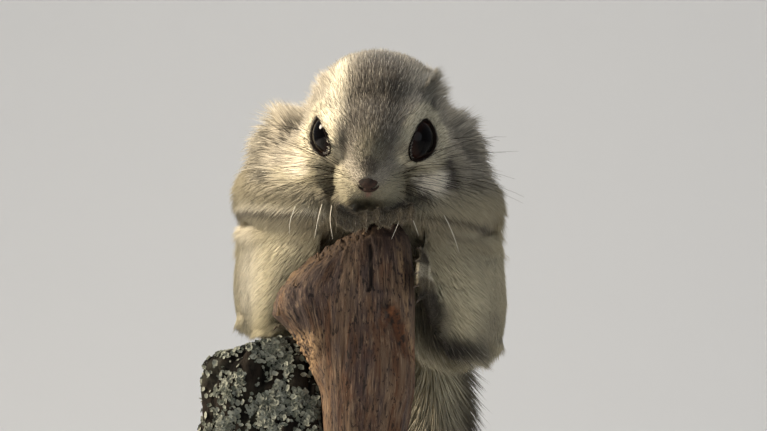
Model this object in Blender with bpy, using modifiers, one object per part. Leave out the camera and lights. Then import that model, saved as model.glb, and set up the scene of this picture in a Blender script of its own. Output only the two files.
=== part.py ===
# Siberian flying squirrel, life size, clinging behind a broken stub on a short cut limb, on a stand.
# Sizes are in millimetres in the picture's own frame: x to the picture's right, y away from the
# viewer, z up from the height of the paws. placed() turns them into metres on the floor.
import math

import bpy
import numpy as np
from mathutils.bvhtree import BVHTree

MM = 0.001
SHIFT = np.array([2.0, -8.0, 134.0])
GAP = 0.32

# Head frame: centre of the skull, pitch down, turn to the picture's left, roll.
HEAD_AT = np.array([1.6, -8.6, 22.0])
HEAD_PITCH = 51.0
HEAD_YAW = 8.0
HEAD_ROLL = 6.0
EYE_R = 6.0
EYE_PLACE = (8.9, 7.8, 2.4)
EYE_AXIS = (0.40, 0.84, 0.36)
ORBIT_R = 6.9
LID_LONG = 54.0
LID_WIDE = 44.0
MOUTH_LEVEL = -6.8
EAR_LENGTH = 10.4
EAR_WIDTH = 8.8
EAR_THICK = 1.1

BODY_TRIANGLES = 1600
HEAD_TRIANGLES = 5400

BASE_R = 64.0
BASE_TOP = -122.0
BASE_THICK = 12.0
ROD_R = 3.0
PERCH_BOTTOM = -92.0
PERCH_TOP = -28.0

for old in list(bpy.data.objects):
    bpy.data.objects.remove(old, do_unlink=True)

part_set = bpy.data.collections.new("flying_squirrel")
bpy.context.scene.collection.children.link(part_set)
work_set = bpy.data.collections.new("work_shapes")
bpy.context.scene.collection.children.link(work_set)
rng = np.random.default_rng(7)


def placed(points):
    return (np.asarray(points, float) + SHIFT) * MM


def mesh_object(name, points, faces, where=None):
    mesh = bpy.data.meshes.new(name)
    mesh.from_pydata([tuple(p) for p in placed(points)], [], [tuple(int(i) for i in f) for f in faces])
    mesh.validate()
    mesh.update()
    made = bpy.data.objects.new(name, mesh)
    (where or work_set).objects.link(made)
    return made


def points_of(thing):
    """Vertices back in millimetres of the picture's frame."""
    mesh = thing.data
    flat = np.empty(len(mesh.vertices) * 3)
    mesh.vertices.foreach_get("co", flat)
    return flat.reshape(-1, 3) / MM - SHIFT


def put_points(thing, points):
    thing.data.vertices.foreach_set("co", placed(points).ravel())
    thing.data.update()


def normals_of(thing):
    flat = np.empty(len(thing.data.vertices) * 3)
    thing.data.vertex_normals.foreach_get("vector", flat)
    return flat.reshape(-1, 3)


def unit(v):
    v = np.asarray(v, float)
    return v / max(np.linalg.norm(v), 1e-9)


def head_axes():
    pitch, yaw, roll = (math.radians(a) for a in (HEAD_PITCH, HEAD_YAW, HEAD_ROLL))
    fore = np.array([-math.sin(yaw) * math.cos(pitch), -math.cos(yaw) * math.cos(pitch), -math.sin(pitch)])
    side = np.array([math.cos(yaw), -math.sin(yaw), 0.0])
    up = np.cross(fore, side)
    return np.array([fore, side * math.cos(roll) - up * math.sin(roll), up * math.cos(roll) + side * math.sin(roll)])


HEAD = head_axes()


def in_head(f, s, u):
    return HEAD_AT + f * HEAD[0] + s * HEAD[1] + u * HEAD[2]


# Closed shapes as (points, faces).


def ball(centre, radii, axes=None, rings=14, around=20):
    axes = np.eye(3) if axes is None else np.asarray(axes)
    points = [(0, 0, 1)]
    for i in range(1, rings):
        a = math.pi * i / rings
        for j in range(around):
            b = 2 * math.pi * j / around
            points.append((math.sin(a) * math.cos(b), math.sin(a) * math.sin(b), math.cos(a)))
    points.append((0, 0, -1))
    faces = []
    last = len(points) - 1
    for j in range(around):
        k = (j + 1) % around
        faces.append((0, 1 + j, 1 + k))
        for i in range(rings - 2):
            a, b = 1 + i * around, 1 + (i + 1) * around
            faces.append((a + j, b + j, b + k, a + k))
        a = 1 + (rings - 2) * around
        faces.append((last, a + k, a + j))
    spread = np.asarray(points) * np.asarray(radii, float)
    return np.asarray(centre, float) + spread @ axes, faces


def loft(rings):
    """Closed tube through rings of equal count, each an array of points."""
    count = len(rings[0])
    points = np.concatenate([np.asarray(r, float) for r in rings])
    faces = [tuple(range(count))[::-1]]
    for i in range(len(rings) - 1):
        for j in range(count):
            k = (j + 1) % count
            a, b = i * count, (i + 1) * count
            faces.append((a + j, a + k, b + k, b + j))
    faces.append(tuple(range((len(rings) - 1) * count, len(rings) * count)))
    return points, faces


def frames_along(path, first_side):
    """Side and front directions at each point of a path, carried along without twist."""
    path = np.asarray(path, float)
    heading = np.gradient(path, axis=0)
    side = unit(first_side)
    found = []
    for h in heading:
        h = unit(h)
        side = unit(side - h * (side @ h))
        found.append((h, side, np.cross(h, side)))
    return found


def curve_through(knots, count):
    """Smooth path through a few named points (Catmull-Rom)."""
    knots = np.asarray(knots, float)
    full = np.vstack([2 * knots[0] - knots[1], knots, 2 * knots[-1] - knots[-2]])
    out = []
    for t in np.linspace(0, len(knots) - 1, count):
        i = min(int(t), len(knots) - 2)
        f = t - i
        a, b, c, d = full[i : i + 4]
        out.append(
            0.5 * (2 * b + (c - a) * f + (2 * a - 5 * b + 4 * c - d) * f**2 + (3 * b - a - 3 * c + d) * f**3)
        )
    return np.array(out)


def tube(knots, radii, side=(1, 0, 0), flat=1.0, count=10, around=12):
    """Round-ended tube along a curve; radii at the knots; flat squeezes its depth."""
    path = curve_through(knots, count)
    sizes = np.interp(np.linspace(0, 1, count), np.linspace(0, 1, len(radii)), radii)
    frames = frames_along(path, side)
    rings = []
    for (h, s, n), p, r in zip(frames, path, sizes):
        rings.append((p, h, s, n, r))
    out = []

    def ring(p, s, n, r):
        return [
            p + r * (math.cos(a) * s + flat * math.sin(a) * n)
            for a in np.linspace(0, 2 * math.pi, around, endpoint=False)
        ]

    for back in (80, 55, 28):
        p, h, s, n, r = rings[0]
        a = math.radians(back)
        out.append(ring(p - h * r * math.sin(a) * flat, s, n, r * math.cos(a)))
    for p, h, s, n, r in rings:
        out.append(ring(p, s, n, r))
    for fore in (28, 55, 80):
        p, h, s, n, r = rings[-1]
        a = math.radians(fore)
        out.append(ring(p + h * r * math.sin(a) * flat, s, n, r * math.cos(a)))
    return loft(out)


def outward(shape):
    """Turns the faces of a closed shape so that they face out."""
    points, faces = shape
    size = 0.0
    for face in faces:
        for a, b in zip(face[1:-1], face[2:]):
            size += np.dot(points[face[0]], np.cross(points[a], points[b]))
    return (points, faces) if size > 0 else (points, [f[::-1] for f in faces])


def joined(shapes):
    points, faces, start = [], [], 0
    for p, f in shapes:
        points.append(p)
        faces += [tuple(i + start for i in face) for face in f]
        start += len(p)
    return np.concatenate(points), faces


def triangles_in(mesh):
    return sum(len(f.vertices) - 2 for f in mesh.polygons)


def settle(thing):
    """Applies the modifiers."""
    graph = bpy.context.evaluated_depsgraph_get()
    graph.update()
    fresh = bpy.data.meshes.new_from_object(thing.evaluated_get(graph))
    thing.modifiers.clear()
    was = thing.data
    thing.data = fresh
    bpy.data.meshes.remove(was)
    return thing


def fused(name, shapes, voxel, smooth=6):
    """Shapes melted into one skin."""
    thing = mesh_object(name, *joined(shapes))
    melt = thing.modifiers.new("melt", "REMESH")
    melt.mode = "VOXEL"
    melt.voxel_size = voxel * MM
    melt.use_smooth_shade = True
    soft = thing.modifiers.new("soft", "SMOOTH")
    soft.factor = 0.5
    soft.iterations = smooth
    return settle(thing)


def thinned(thing, count):
    thin = thing.modifiers.new("thin", "DECIMATE")
    thin.ratio = min(1.0, count / triangles_in(thing.data))
    thin.use_collapse_triangulate = True
    return settle(thing)


def largest(thing):
    """Keeps the largest closed surface of a mesh."""
    mesh = thing.data
    group = np.arange(len(mesh.vertices))
    ends = np.array([e.vertices[:] for e in mesh.edges])
    while True:
        low = np.minimum(group[ends[:, 0]], group[ends[:, 1]])
        fresh = group.copy()
        np.minimum.at(fresh, ends[:, 0], low)
        np.minimum.at(fresh, ends[:, 1], low)
        fresh = fresh[fresh]
        if (fresh == group).all():
            break
        group = fresh
    points = points_of(thing)
    best, most = None, -1.0
    names = np.array([group[f.vertices[0]] for f in mesh.polygons])
    for label in np.unique(names):
        chosen = [mesh.polygons[i] for i in np.flatnonzero(names == label)]
        size = 0.0
        for f in chosen:
            ids = f.vertices[:]
            for a, b in zip(ids[1:-1], ids[2:]):
                size += np.dot(points[ids[0]], np.cross(points[a], points[b])) / 6
        if size > most:
            best, most = label, size
    if (names == best).all():
        return thing
    kept = np.flatnonzero(group == best)
    index = -np.ones(len(group), int)
    index[kept] = np.arange(len(kept))
    faces = [tuple(index[i] for i in mesh.polygons[j].vertices) for j in np.flatnonzero(names == best)]
    fresh = mesh_object(thing.name + "_kept", points[kept], faces)
    was = thing.data
    thing.data = fresh.data
    bpy.data.objects.remove(fresh, do_unlink=True)
    bpy.data.meshes.remove(was)
    return thing


def boolean(thing, other, operation, solver="EXACT"):
    cut = thing.modifiers.new("cut", "BOOLEAN")
    cut.operation = operation
    cut.solver = solver
    cut.object = other
    return largest(settle(thing))


def swollen(thing, by):
    """A closed copy whose surface stands off by so many millimetres."""
    grown = bpy.data.objects.new(thing.name + "_swollen", thing.data.copy())
    work_set.objects.link(grown)
    put_points(grown, points_of(thing) + normals_of(thing) * by)
    return grown


def carve(thing, others, gap=GAP):
    """Cuts a node clear of its neighbours."""
    for other in others:
        grown = swollen(other, gap)
        boolean(thing, grown, "DIFFERENCE")
        bpy.data.objects.remove(grown, do_unlink=True)
    return thing


def unite(thing, shapes):
    """One Boolean union with a collection of closed shapes."""
    extra = bpy.data.collections.new("extra")
    bpy.context.scene.collection.children.link(extra)
    for i, (p, f) in enumerate(shapes):
        mesh_object(f"extra_{i}", p, f, extra)
    cut = thing.modifiers.new("join", "BOOLEAN")
    cut.operation = "UNION"
    cut.solver = "EXACT"
    cut.operand_type = "COLLECTION"
    cut.collection = extra
    settle(thing)
    for spare in list(extra.objects):
        bpy.data.objects.remove(spare, do_unlink=True)
    bpy.data.collections.remove(extra)
    return largest(thing)


def finish(thing, name, colour, rough, slot=None):
    """Names a node and gives it its material."""
    made = bpy.data.objects.new(name, thing.data)
    made.data.name = name
    bpy.data.objects.remove(thing, do_unlink=True)
    part_set.objects.link(made)
    stuff = bpy.data.materials.new(slot or name + "_surface")
    stuff.use_nodes = True
    shader = stuff.node_tree.nodes["Principled BSDF"]
    shader.inputs["Base Color"].default_value = (*colour, 1.0)
    shader.inputs["Roughness"].default_value = rough
    made.data.materials.clear()
    made.data.materials.append(stuff)
    return made


FUR = (0.38, 0.33, 0.26)
PALE = (0.72, 0.66, 0.55)
SKIN = (0.34, 0.27, 0.22)

# Eyes.


def eye(side):
    f, s, u = EYE_PLACE
    return mesh_object("eye", *ball(in_head(f, s * side, u), (EYE_R,) * 3, HEAD, 10, 16))


eye_left = eye(1)
eye_right = eye(-1)

# Head: a few rounded masses in its own frame, melted together.


def head_ball(f, s, u, rf, rs, ru):
    return ball(in_head(f, s, u), (rf, rs, ru), HEAD)


def head_pair(f, s, u, rf, rs, ru):
    return [head_ball(f, s * side, u, rf, rs, ru) for side in (1, -1)]


head_shapes = [
    head_ball(-3.0, 0, -0.8, 15.0, 17.8, 12.5),
    head_ball(-4.0, 0, 4.0, 11.0, 13.0, 8.6),
    head_ball(7.0, 0, 3.2, 12.5, 8.6, 7.8),
    head_ball(14.6, 0, -0.8, 7.8, 7.4, 6.6),
    head_ball(13.0, 0, -8.1, 6.3, 4.6, 3.4),
    head_ball(2.0, 0, -8.0, 12.0, 12.0, 8.0),
    head_ball(20.2, 0, 0.4, 2.8, 3.6, 2.9),
]
head_shapes += head_pair(17.1, 3.9, -3.6, 5.3, 4.6, 4.7)
head_shapes += head_pair(5.6, 11.4, -6.6, 10.0, 8.4, 8.6)
head_shapes += head_pair(EYE_PLACE[0] - 0.4, EYE_PLACE[1] - 0.2, EYE_PLACE[2], ORBIT_R, ORBIT_R, ORBIT_R)
head_shapes += head_pair(3.0, 8.0, 5.6, 8.0, 5.5, 4.2)

FORELEG = {
    "left": [(15.0, 5.0, 6.0), (25.8, -1.0, 1.8), (18.5, -9.5, 0.6), (8.8, -15.6, 0.2)],
    "right": [(-16.0, 5.0, 8.5), (-27.0, -1.0, 4.4), (-19.0, -9.0, 1.6), (-7.8, -15.6, 0.0)],
}
FORELEG_R = (8.5, 7.2, 5.2, 3.1)

body_shapes = [
    ball((0, 1, 2), (23, 13, 17)),
    ball((-16.5, 7, 10), (14.0, 14, 18)),
    ball((15.0, 7, 10), (14.0, 14, 18.5)),
    ball((-2.0, 19, 8.5), (26.5, 22, 22.5)),
    ball((0, 22, -6), (31.5, 25, 24)),
    ball((0, 31, -13), (27.5, 20.5, 18.5)),
    ball((-19.5, 12, -16), (12.8, 18, 14)),
    ball((18.5, 12, -21), (13.2, 17, 15.5)),
    ball((1.0, 2, 16), (17, 13, 15)),
    ball((-18.0, -2.5, 7.5), (12.0, 9.0, 8.5)),
    ball((18.0, -2.5, 6.5), (12.0, 9.0, 8.5)),
    ball((-19.0, 6.0, 20.5), (7.5, 9.0, 8.0)),
    ball((19.0, 6.0, 19.5), (7.0, 9.0, 8.0)),
]
body_shapes += [tube(FORELEG[k], FORELEG_R, (0, 0, 1), 1.0, 14, 16) for k in ("left", "right")]

trunk = fused("trunk", body_shapes, 1.2, 26)
face = fused("face", head_shapes, 0.7, 7)
whole = fused("whole", [(points_of(t), [f.vertices[:] for f in t.data.polygons]) for t in (trunk, face)], 0.8, 5)

def copy_of(thing, name, triangles):
    made = bpy.data.objects.new(name, thing.data.copy())
    work_set.objects.link(made)
    return thinned(made, triangles)


# Thin curved cuts part the head and the forelegs from the trunk.
def head_lump():
    return mesh_object("lump", *outward(ball(in_head(4.0, 0, -2.0), (24.5, 21.5, 18.0), HEAD, 14, 24)))


def foreleg_lump(side):
    knots = FORELEG[side][1:]
    return mesh_object("lump", *outward(tube(knots, (9.0, 6.2, 4.2), (0, 0, 1), 1.0, 9, 14)))


arm_lumps = {side: foreleg_lump(side) for side in ("left", "right")}
neck_lump = head_lump()
head = copy_of(whole, "head_work", HEAD_TRIANGLES)
boolean(head, neck_lump, "INTERSECT")
torso = copy_of(whole, "torso_work", BODY_TRIANGLES)
boolean(torso, swollen(neck_lump, GAP), "DIFFERENCE")
forelegs = {}
for side in ("left", "right"):
    forelegs[side] = copy_of(whole, "foreleg_" + side + "_work", BODY_TRIANGLES)
    boolean(forelegs[side], arm_lumps[side], "INTERSECT")
    wide = swollen(arm_lumps[side], GAP)
    boolean(head, wide, "DIFFERENCE")
    boolean(torso, wide, "DIFFERENCE")

# Hind legs: each haunch is parted from the trunk by a thin curved cut.
HAUNCH = {
    "left": ((25.5, 11.0, -21.0), (14.0, 17.0, 17.5)),
    "right": ((-26.0, 11.0, -17.0), (13.0, 17.0, 15.5)),
}


def hindleg(side):
    centre, radii = HAUNCH[side]
    leg = copy_of(whole, "hindleg_" + side + "_work", BODY_TRIANGLES)
    lump = mesh_object("lump", *outward(ball(centre, radii, None, 10, 16)))
    boolean(leg, lump, "INTERSECT")
    boolean(leg, swollen(arm_lumps[side], GAP), "DIFFERENCE")
    boolean(torso, swollen(lump, GAP), "DIFFERENCE")
    return leg


hindleg_left = hindleg("left")
hindleg_right = hindleg("right")


# Lids: the flesh round each eye is opened in an almond whose corners point to the nose and back.
def lid_opening(side):
    f, s, u = EYE_PLACE
    centre = in_head(f, s * side, u)
    axis = unit(EYE_AXIS[0] * HEAD[0] + EYE_AXIS[1] * side * HEAD[1] + EYE_AXIS[2] * HEAD[2])
    long_way = unit(HEAD[0] - axis * (HEAD[0] @ axis))
    across = np.cross(axis, long_way)
    rings = []
    for d in (0.8, 12.0):
        ring = []
        for j in range(20):
            a = 2 * math.pi * j / 20
            x = math.cos(a) * math.tan(math.radians(LID_LONG))
            y = math.sin(a) * abs(math.sin(a)) ** 0.45 * math.tan(math.radians(LID_WIDE))
            ring.append(centre + d * (axis + x * long_way + y * across))
        rings.append(ring)
    return mesh_object("lid_opening", *outward(loft(rings)))


def tree_of(thing):
    return BVHTree.FromPolygons([tuple(p) for p in points_of(thing)], [f.vertices[:] for f in thing.data.polygons])


def cast(tree, start, way):
    """Where a ray from inside last leaves the surface."""
    spot = None
    at, way = np.asarray(start, float), unit(way)
    for _ in range(6):
        hit = tree.ray_cast(tuple(at), tuple(way))
        if hit[0] is None:
            break
        spot = np.array(hit[0])
        at = spot + way * 0.05
    return spot


def mouth_line(tree, level, reach=34, count=13):
    """Points on the surface along the mouth, from one corner round the front to the other."""
    found = []
    for a in np.linspace(-reach, reach, count):
        r = math.radians(a)
        height = level + 0.7 * (a / reach) ** 2
        found.append(cast(tree, in_head(9.0, 0, height), math.cos(r) * HEAD[0] + math.sin(r) * HEAD[1]))
    return np.array(found)


# Neighbours are cut clear of the head as it is before the fine grooves.
plain_head = bpy.data.objects.new("plain_head", head.data.copy())
work_set.objects.link(plain_head)
skin_tree = tree_of(head)
line = mouth_line(skin_tree, MOUTH_LEVEL)
upper = mouth_line(skin_tree, MOUTH_LEVEL + 0.95)
lower = mouth_line(skin_tree, MOUTH_LEVEL - 0.95)
inward = HEAD[0] * -0.35
lips = [
    outward(tube(upper + inward, (0.25, 0.5, 0.75, 0.5, 0.25), HEAD[2], 1.0, 17, 6)),
    outward(tube(lower + inward, (0.2, 0.35, 0.5, 0.35, 0.2), HEAD[2], 1.0, 17, 6)),
]
unite(head, lips)
for side in ("left", "right"):
    boolean(head, swollen(arm_lumps[side], 0.8 * GAP), "DIFFERENCE")
mouth = mesh_object("mouth_cut", *outward(tube(line, (0.2, 0.34, 0.38, 0.34, 0.2), HEAD[2], 1.0, 17, 5)))
boolean(head, mouth, "DIFFERENCE")
split = [cast(skin_tree, in_head(12.0, 0, -1.5), HEAD[0] + HEAD[2] * k) for k in (0.02, -0.16, -0.34, -0.5)]
groove = mesh_object("split_cut", *outward(tube(split, (0.3, 0.36, 0.36, 0.34), HEAD[1], 1.0, 7, 5)))
boolean(head, groove, "DIFFERENCE")
for side in (1, -1):
    boolean(head, lid_opening(side), "DIFFERENCE")
carve(head, [eye_left, eye_right])

# Nose pad, with a comma of a nostril on each side, set a little proud of the muzzle's end.
muzzle_end = cast(skin_tree, in_head(12.0, 0, 0.7), HEAD[0])
NOSE_AT = muzzle_end - HEAD[0] * 0.9
nose = mesh_object("nose_work", *outward(ball(NOSE_AT, (2.3, 3.0, 2.3), HEAD, 10, 14)))
for side in (1, -1):
    trail = [NOSE_AT + k @ HEAD for k in np.array([(2.5, 0.9 * side, 0.1), (1.6, 1.5 * side, 0.0), (0.6, 2.6 * side, 0.6)])]
    nostril = mesh_object("nostril", *outward(tube(trail, (0.5, 0.62, 0.35), HEAD[2], 1.0, 5, 7)))
    boolean(nose, nostril, "DIFFERENCE")
carve(nose, [plain_head])


# Ears: cupped leaves.
def ear_shape(base, tip, opening, length, width):
    base, tip = np.asarray(base, float), np.asarray(tip, float)
    along = unit(tip - base)
    front = unit(np.asarray(opening, float) - along * (np.asarray(opening, float) @ along))
    across = np.cross(along, front)
    rows, cols = 9, 8
    grid = np.zeros((2, rows + 1, cols + 1, 3))
    for i in range(rows + 1):
        t = i / rows
        half = 0.5 * width * math.sin(math.pi * (0.16 + 0.80 * t) ** 0.85) ** 0.6
        for j in range(cols + 1):
            v = -1 + 2 * j / cols
            cup = 2.7 * (v * v) * (1 - 0.45 * t) + 1.2 * t * t - 1.2 * (1 - t) ** 2
            mid = base + along * (length * (t - 0.22)) + across * half * v + front * cup
            thick = EAR_THICK * (1.25 - 0.55 * t) * (1 - 0.35 * abs(v) ** 3)
            grid[0, i, j] = mid + front * thick / 2
            grid[1, i, j] = mid - front * thick / 2
    points = grid.reshape(-1, 3)

    def at(k, i, j):
        return k * (rows + 1) * (cols + 1) + i * (cols + 1) + j

    faces = []
    for i in range(rows):
        for j in range(cols):
            a = (at(0, i, j), at(0, i, j + 1), at(0, i + 1, j + 1), at(0, i + 1, j))
            b = (at(1, i, j), at(1, i, j + 1), at(1, i + 1, j + 1), at(1, i + 1, j))
            faces += [(a[0], a[1], a[2]), (a[0], a[2], a[3])]
            faces += [(b[2], b[1], b[0]), (b[3], b[2], b[0])]
    for j in range(cols):
        faces.append((at(1, 0, j), at(1, 0, j + 1), at(0, 0, j + 1), at(0, 0, j)))
        faces.append((at(0, rows, j), at(0, rows, j + 1), at(1, rows, j + 1), at(1, rows, j)))
    for i in range(rows):
        faces.append((at(0, i, 0), at(0, i + 1, 0), at(1, i + 1, 0), at(1, i, 0)))
        faces.append((at(1, i, cols), at(1, i + 1, cols), at(0, i + 1, cols), at(0, i, cols)))
    return outward((points, faces))


def ear_place(root, tip, opening):
    return in_head(*root), in_head(*tip), np.array(opening) @ HEAD


EAR_LEFT = ear_place((-0.6, 10.6, 8.2), (-8.0, 12.4, 6.6), (-0.15, 1.0, 0.1))
EAR_RIGHT = ear_place((0.2, -9.8, 8.4), (-7.2, -9.2, 8.0), (0.35, -0.80, 0.45))
ear_left = mesh_object("ear_left_work", *ear_shape(*EAR_LEFT, EAR_LENGTH, EAR_WIDTH))
ear_right = mesh_object("ear_right_work", *ear_shape(*EAR_RIGHT, EAR_LENGTH, EAR_WIDTH))
for ear in (ear_left, ear_right):
    carve(ear, [plain_head, torso])


# Stub of bare broken wood, level by level: height, left, right, front, back.
STUB = (
    (-80.0, -8.0, 5.0, -19.0, -7.0),
    (-66.0, -9.6, 6.8, -23.5, -7.0),
    (-50.0, -10.2, 8.0, -26.5, -7.0),
    (-41.0, -10.8, 9.4, -27.5, -8.0),
    (-34.0, -13.0, 9.8, -27.5, -8.5),
    (-29.0, -16.0, 9.4, -27.0, -9.0),
    (-23.5, -21.4, 9.4, -26.5, -10.0),
    (-18.5, -20.2, 9.5, -26.0, -11.0),
    (-13.5, -15.8, 9.4, -25.4, -11.5),
    (-9.0, -10.4, 9.2, -24.6, -12.0),
    (-6.0, -5.8, 8.6, -23.8, -12.8),
    (-3.6, -2.6, 7.2, -22.6, -13.6),
)


def stub_shape(around=20):
    rings = []
    noise = np.random.default_rng(3)
    ridge = 1 + 0.035 * noise.standard_normal(around)
    for z, x0, x1, y0, y1 in STUB:
        mid = np.array([(x0 + x1) / 2, (y0 + y1) / 2, z])
        ring = []
        for j in range(around):
            a = 2 * math.pi * j / around
            c, s = math.cos(a), math.sin(a)
            c = math.copysign(abs(c) ** 0.8, c)
            s = math.copysign(abs(s) ** 0.8, s)
            jag = 0.9 * noise.standard_normal() if z > -5 else 0.0
            ring.append(mid + np.array([c * (x1 - x0) / 2 * ridge[j], s * (y1 - y0) / 2 * ridge[j], jag]))
        rings.append(ring)
    top = np.mean(rings[-1], axis=0)
    return joined_top(rings, top)


def joined_top(rings, top):
    """A loft whose upper end closes to one point, so that its jagged rim stays a closed fan."""
    points, faces = loft(rings)
    count = len(rings[0])
    faces = faces[:-1]
    points = np.vstack([points, top])
    start = (len(rings) - 1) * count
    for j in range(count):
        faces.append((start + j, start + (j + 1) % count, len(points) - 1))
    return outward((points, faces))


stub = mesh_object("stub_work", *stub_shape())


# Bark limb behind it, an upright cut length.
# Height, centre and half widths: the bark swells into a collar round the foot of the stub.
LIMB = (
    (-92.0, -10.5, -1.0, 26.5, 24.5),
    (-78.0, -10.5, -1.0, 26.8, 24.5),
    (-66.0, -12.0, 0.0, 26.0, 23.0),
    (-56.0, -14.5, 2.5, 24.0, 21.0),
    (-42.0, -16.2, 4.5, 23.6, 19.5),
    (-32.0, -16.8, 5.0, 23.2, 19.0),
    (-28.0, -16.8, 5.0, 21.5, 17.5),
)


def limb_shape(around=28, levels=12):
    noise = np.random.default_rng(11)
    phase = noise.uniform(0, 2 * math.pi, 6)
    table = np.array(LIMB)
    rings = []
    for i in range(levels):
        t = i / (levels - 1)
        z = PERCH_BOTTOM + t * (PERCH_TOP - PERCH_BOTTOM)
        cx, cy, rx, ry = (np.interp(z, table[:, 0], table[:, k]) for k in (1, 2, 3, 4))
        ring = []
        for j in range(around):
            a = 2 * math.pi * j / around
            ridges = 0.8 * math.sin(9 * a + 2.2 * math.sin(3.1 * t + phase[0]) + phase[1])
            ridges += 0.6 * math.sin(5 * a - 4 * t + phase[2]) + 0.45 * noise.standard_normal()
            x, y = cx + (rx + ridges) * math.cos(a), cy + (ry + ridges) * math.sin(a)
            rise = 0.7 * math.sin(4 * a + phase[3]) if i == levels - 1 else 0.0
            if i == levels - 1:
                rise -= 0.42 * max(0.0, -25.0 - x)
            ring.append((x, y, z + rise))
        rings.append(ring)
    top = np.mean(rings[-1], axis=0) + np.array([0, 0, 0.6])
    return joined_top(rings, top)


limb = mesh_object("limb_work", *limb_shape())
carve(limb, [stub])
for trunk_part in (torso, hindleg_left, hindleg_right):
    carve(trunk_part, [stub, limb])


foreleg_left, foreleg_right = forelegs["left"], forelegs["right"]
for arm in (foreleg_left, foreleg_right):
    carve(arm, [stub])

# Hands and feet: a palm, digits bent over the wood, and a claw at each tip.
def digit(start, mid, end, r, claw, nail):
    """One digit as a bent tube with its claw, a tapering hook."""
    return [
        tube([start, mid, end], (r, r * 0.95, r * 0.8), (0, 0, 1), 1.0, 5, 7),
        tube([end, (np.asarray(end) + claw) / 2 + np.asarray(nail), claw], (r * 0.5, r * 0.38, 0.16), (0, 0, 1), 1.0, 4, 5),
    ]


HAND = {
    "left": dict(wrist=(8.6, -16.0, 0.2), palm=(6.2, -19.0, -0.2), spread=[(9.6, 0.6), (7.2, -0.3), (4.6, -0.4), (2.2, 0.4)]),
    "right": dict(wrist=(-7.6, -16.0, 0.0), palm=(-4.6, -18.8, -0.4), spread=[(-7.4, 0.4), (-5.2, -0.4), (-3.0, -0.6), (-0.6, 0.2)]),
}


def hand(side, arm):
    size = HAND[side]
    wrist, palm = np.array(size["wrist"]), np.array(size["palm"])
    shapes = [tube([wrist, palm], (2.7, 3.0), (1, 0, 0), 0.75, 5, 10)]
    for x, lift in size["spread"]:
        start = np.array([(palm[0] + x) / 2, palm[1] - 0.6, palm[2] + 0.2])
        mid = np.array([x, palm[1] - 4.0, palm[2] + 0.5 + lift])
        end = np.array([x, palm[1] - 6.6, palm[2] - 2.4 + lift])
        claw = end + np.array([0.0, -0.9, -2.0])
        shapes += digit(start, mid, end, 1.05, claw, (0, -0.5, 0.2))
    thing = fused("hand_" + side + "_work", shapes, 0.35, 1)
    thinned(thing, 520)
    return carve(thing, [arm, plain_head, stub, torso])


hand_left = hand("left", foreleg_left)
hand_right = hand("right", foreleg_right)

# Feet.
FOOT = {
    "left": dict(heel=(16.0, 3.0, -29.0), ball=(12.8, -15.0, -17.0), toes=[(11.6, -26.0, -9.5), (11.2, -27.6, -12.2), (11.0, -28.0, -14.8), (11.0, -27.2, -17.4), (11.4, -24.0, -20.2)]),
    "right": dict(heel=(-22.0, 13.0, -24.8), ball=(-17.5, -2.0, -25.4), toes=[(-21.0, -7.4, -26.0), (-18.6, -8.6, -26.0), (-16.2, -8.8, -26.0), (-13.8, -8.4, -25.8), (-11.0, -5.6, -25.6)]),
}


def foot(side):
    size = FOOT[side]
    heel, front = np.array(size["heel"]), np.array(size["ball"])
    shapes = [tube([heel, (heel + front) / 2, front], (2.7, 2.6, 3.1), (1, 0, 0) if side == "right" else (0, 0.3, 1), 0.7, 8, 12)]
    for toe in size["toes"]:
        toe = np.array(toe)
        way = toe - front
        mid = front + way * 0.55 + np.array([0.7 if side == "left" else 0, 0, 0.5])
        claw = toe + unit(way) * 1.8 + np.array([-1.0 if side == "left" else 0, 0, -0.8])
        shapes += digit(front + way * 0.12, mid, toe, 1.15, claw, (0.3 if side == "left" else 0, 0, 0.3))
    thing = fused("foot_" + side + "_work", shapes, 0.4, 1)
    thinned(thing, 520)
    return carve(thing, [stub, limb, torso, hindleg_left, hindleg_right])


foot_left = foot("left")
foot_right = foot("right")


# Gliding membrane of each side: a loose fold from the forearm down to the thigh, lying on the flank.
PATAGIUM = {
    "right": dict(
        top=[(-10.0, -15.0, -3.0), (-20.0, -12.0, -2.6), (-31.0, -4.0, -1.0), (-33.5, 9.0, -2.0), (-32.0, 18.0, -6.0)],
        middle=[(-13.0, -12.0, -13.0), (-24.0, -9.5, -13.5), (-32.6, -2.0, -13.0), (-34.0, 9.0, -13.5), (-31.0, 19.0, -13.0)],
        bottom=[(-16.0, -8.5, -25.5), (-25.0, -6.5, -27.2), (-31.4, 1.0, -26.6), (-32.4, 9.0, -24.0), (-31.0, 16.0, -20.0)],
        pleats=0.3,
    ),
    "left": dict(
        top=[(11.5, -15.0, -3.4), (21.0, -13.0, -3.0), (31.0, -5.0, -2.0), (33.5, 9.0, -3.0), (32.0, 18.0, -7.0)],
        middle=[(14.0, -12.0, -15.0), (24.0, -10.5, -16.0), (32.4, -3.0, -16.0), (33.5, 9.0, -15.5), (31.0, 19.0, -14.5)],
        bottom=[(17.0, -8.0, -29.0), (23.0, -7.5, -33.0), (29.4, -1.0, -33.5), (31.4, 8.0, -29.0), (30.5, 15.0, -23.0)],
        pleats=0.9,
    ),
}
PATAGIUM_THICK = 2.0
whole_tree = tree_of(whole)


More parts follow.
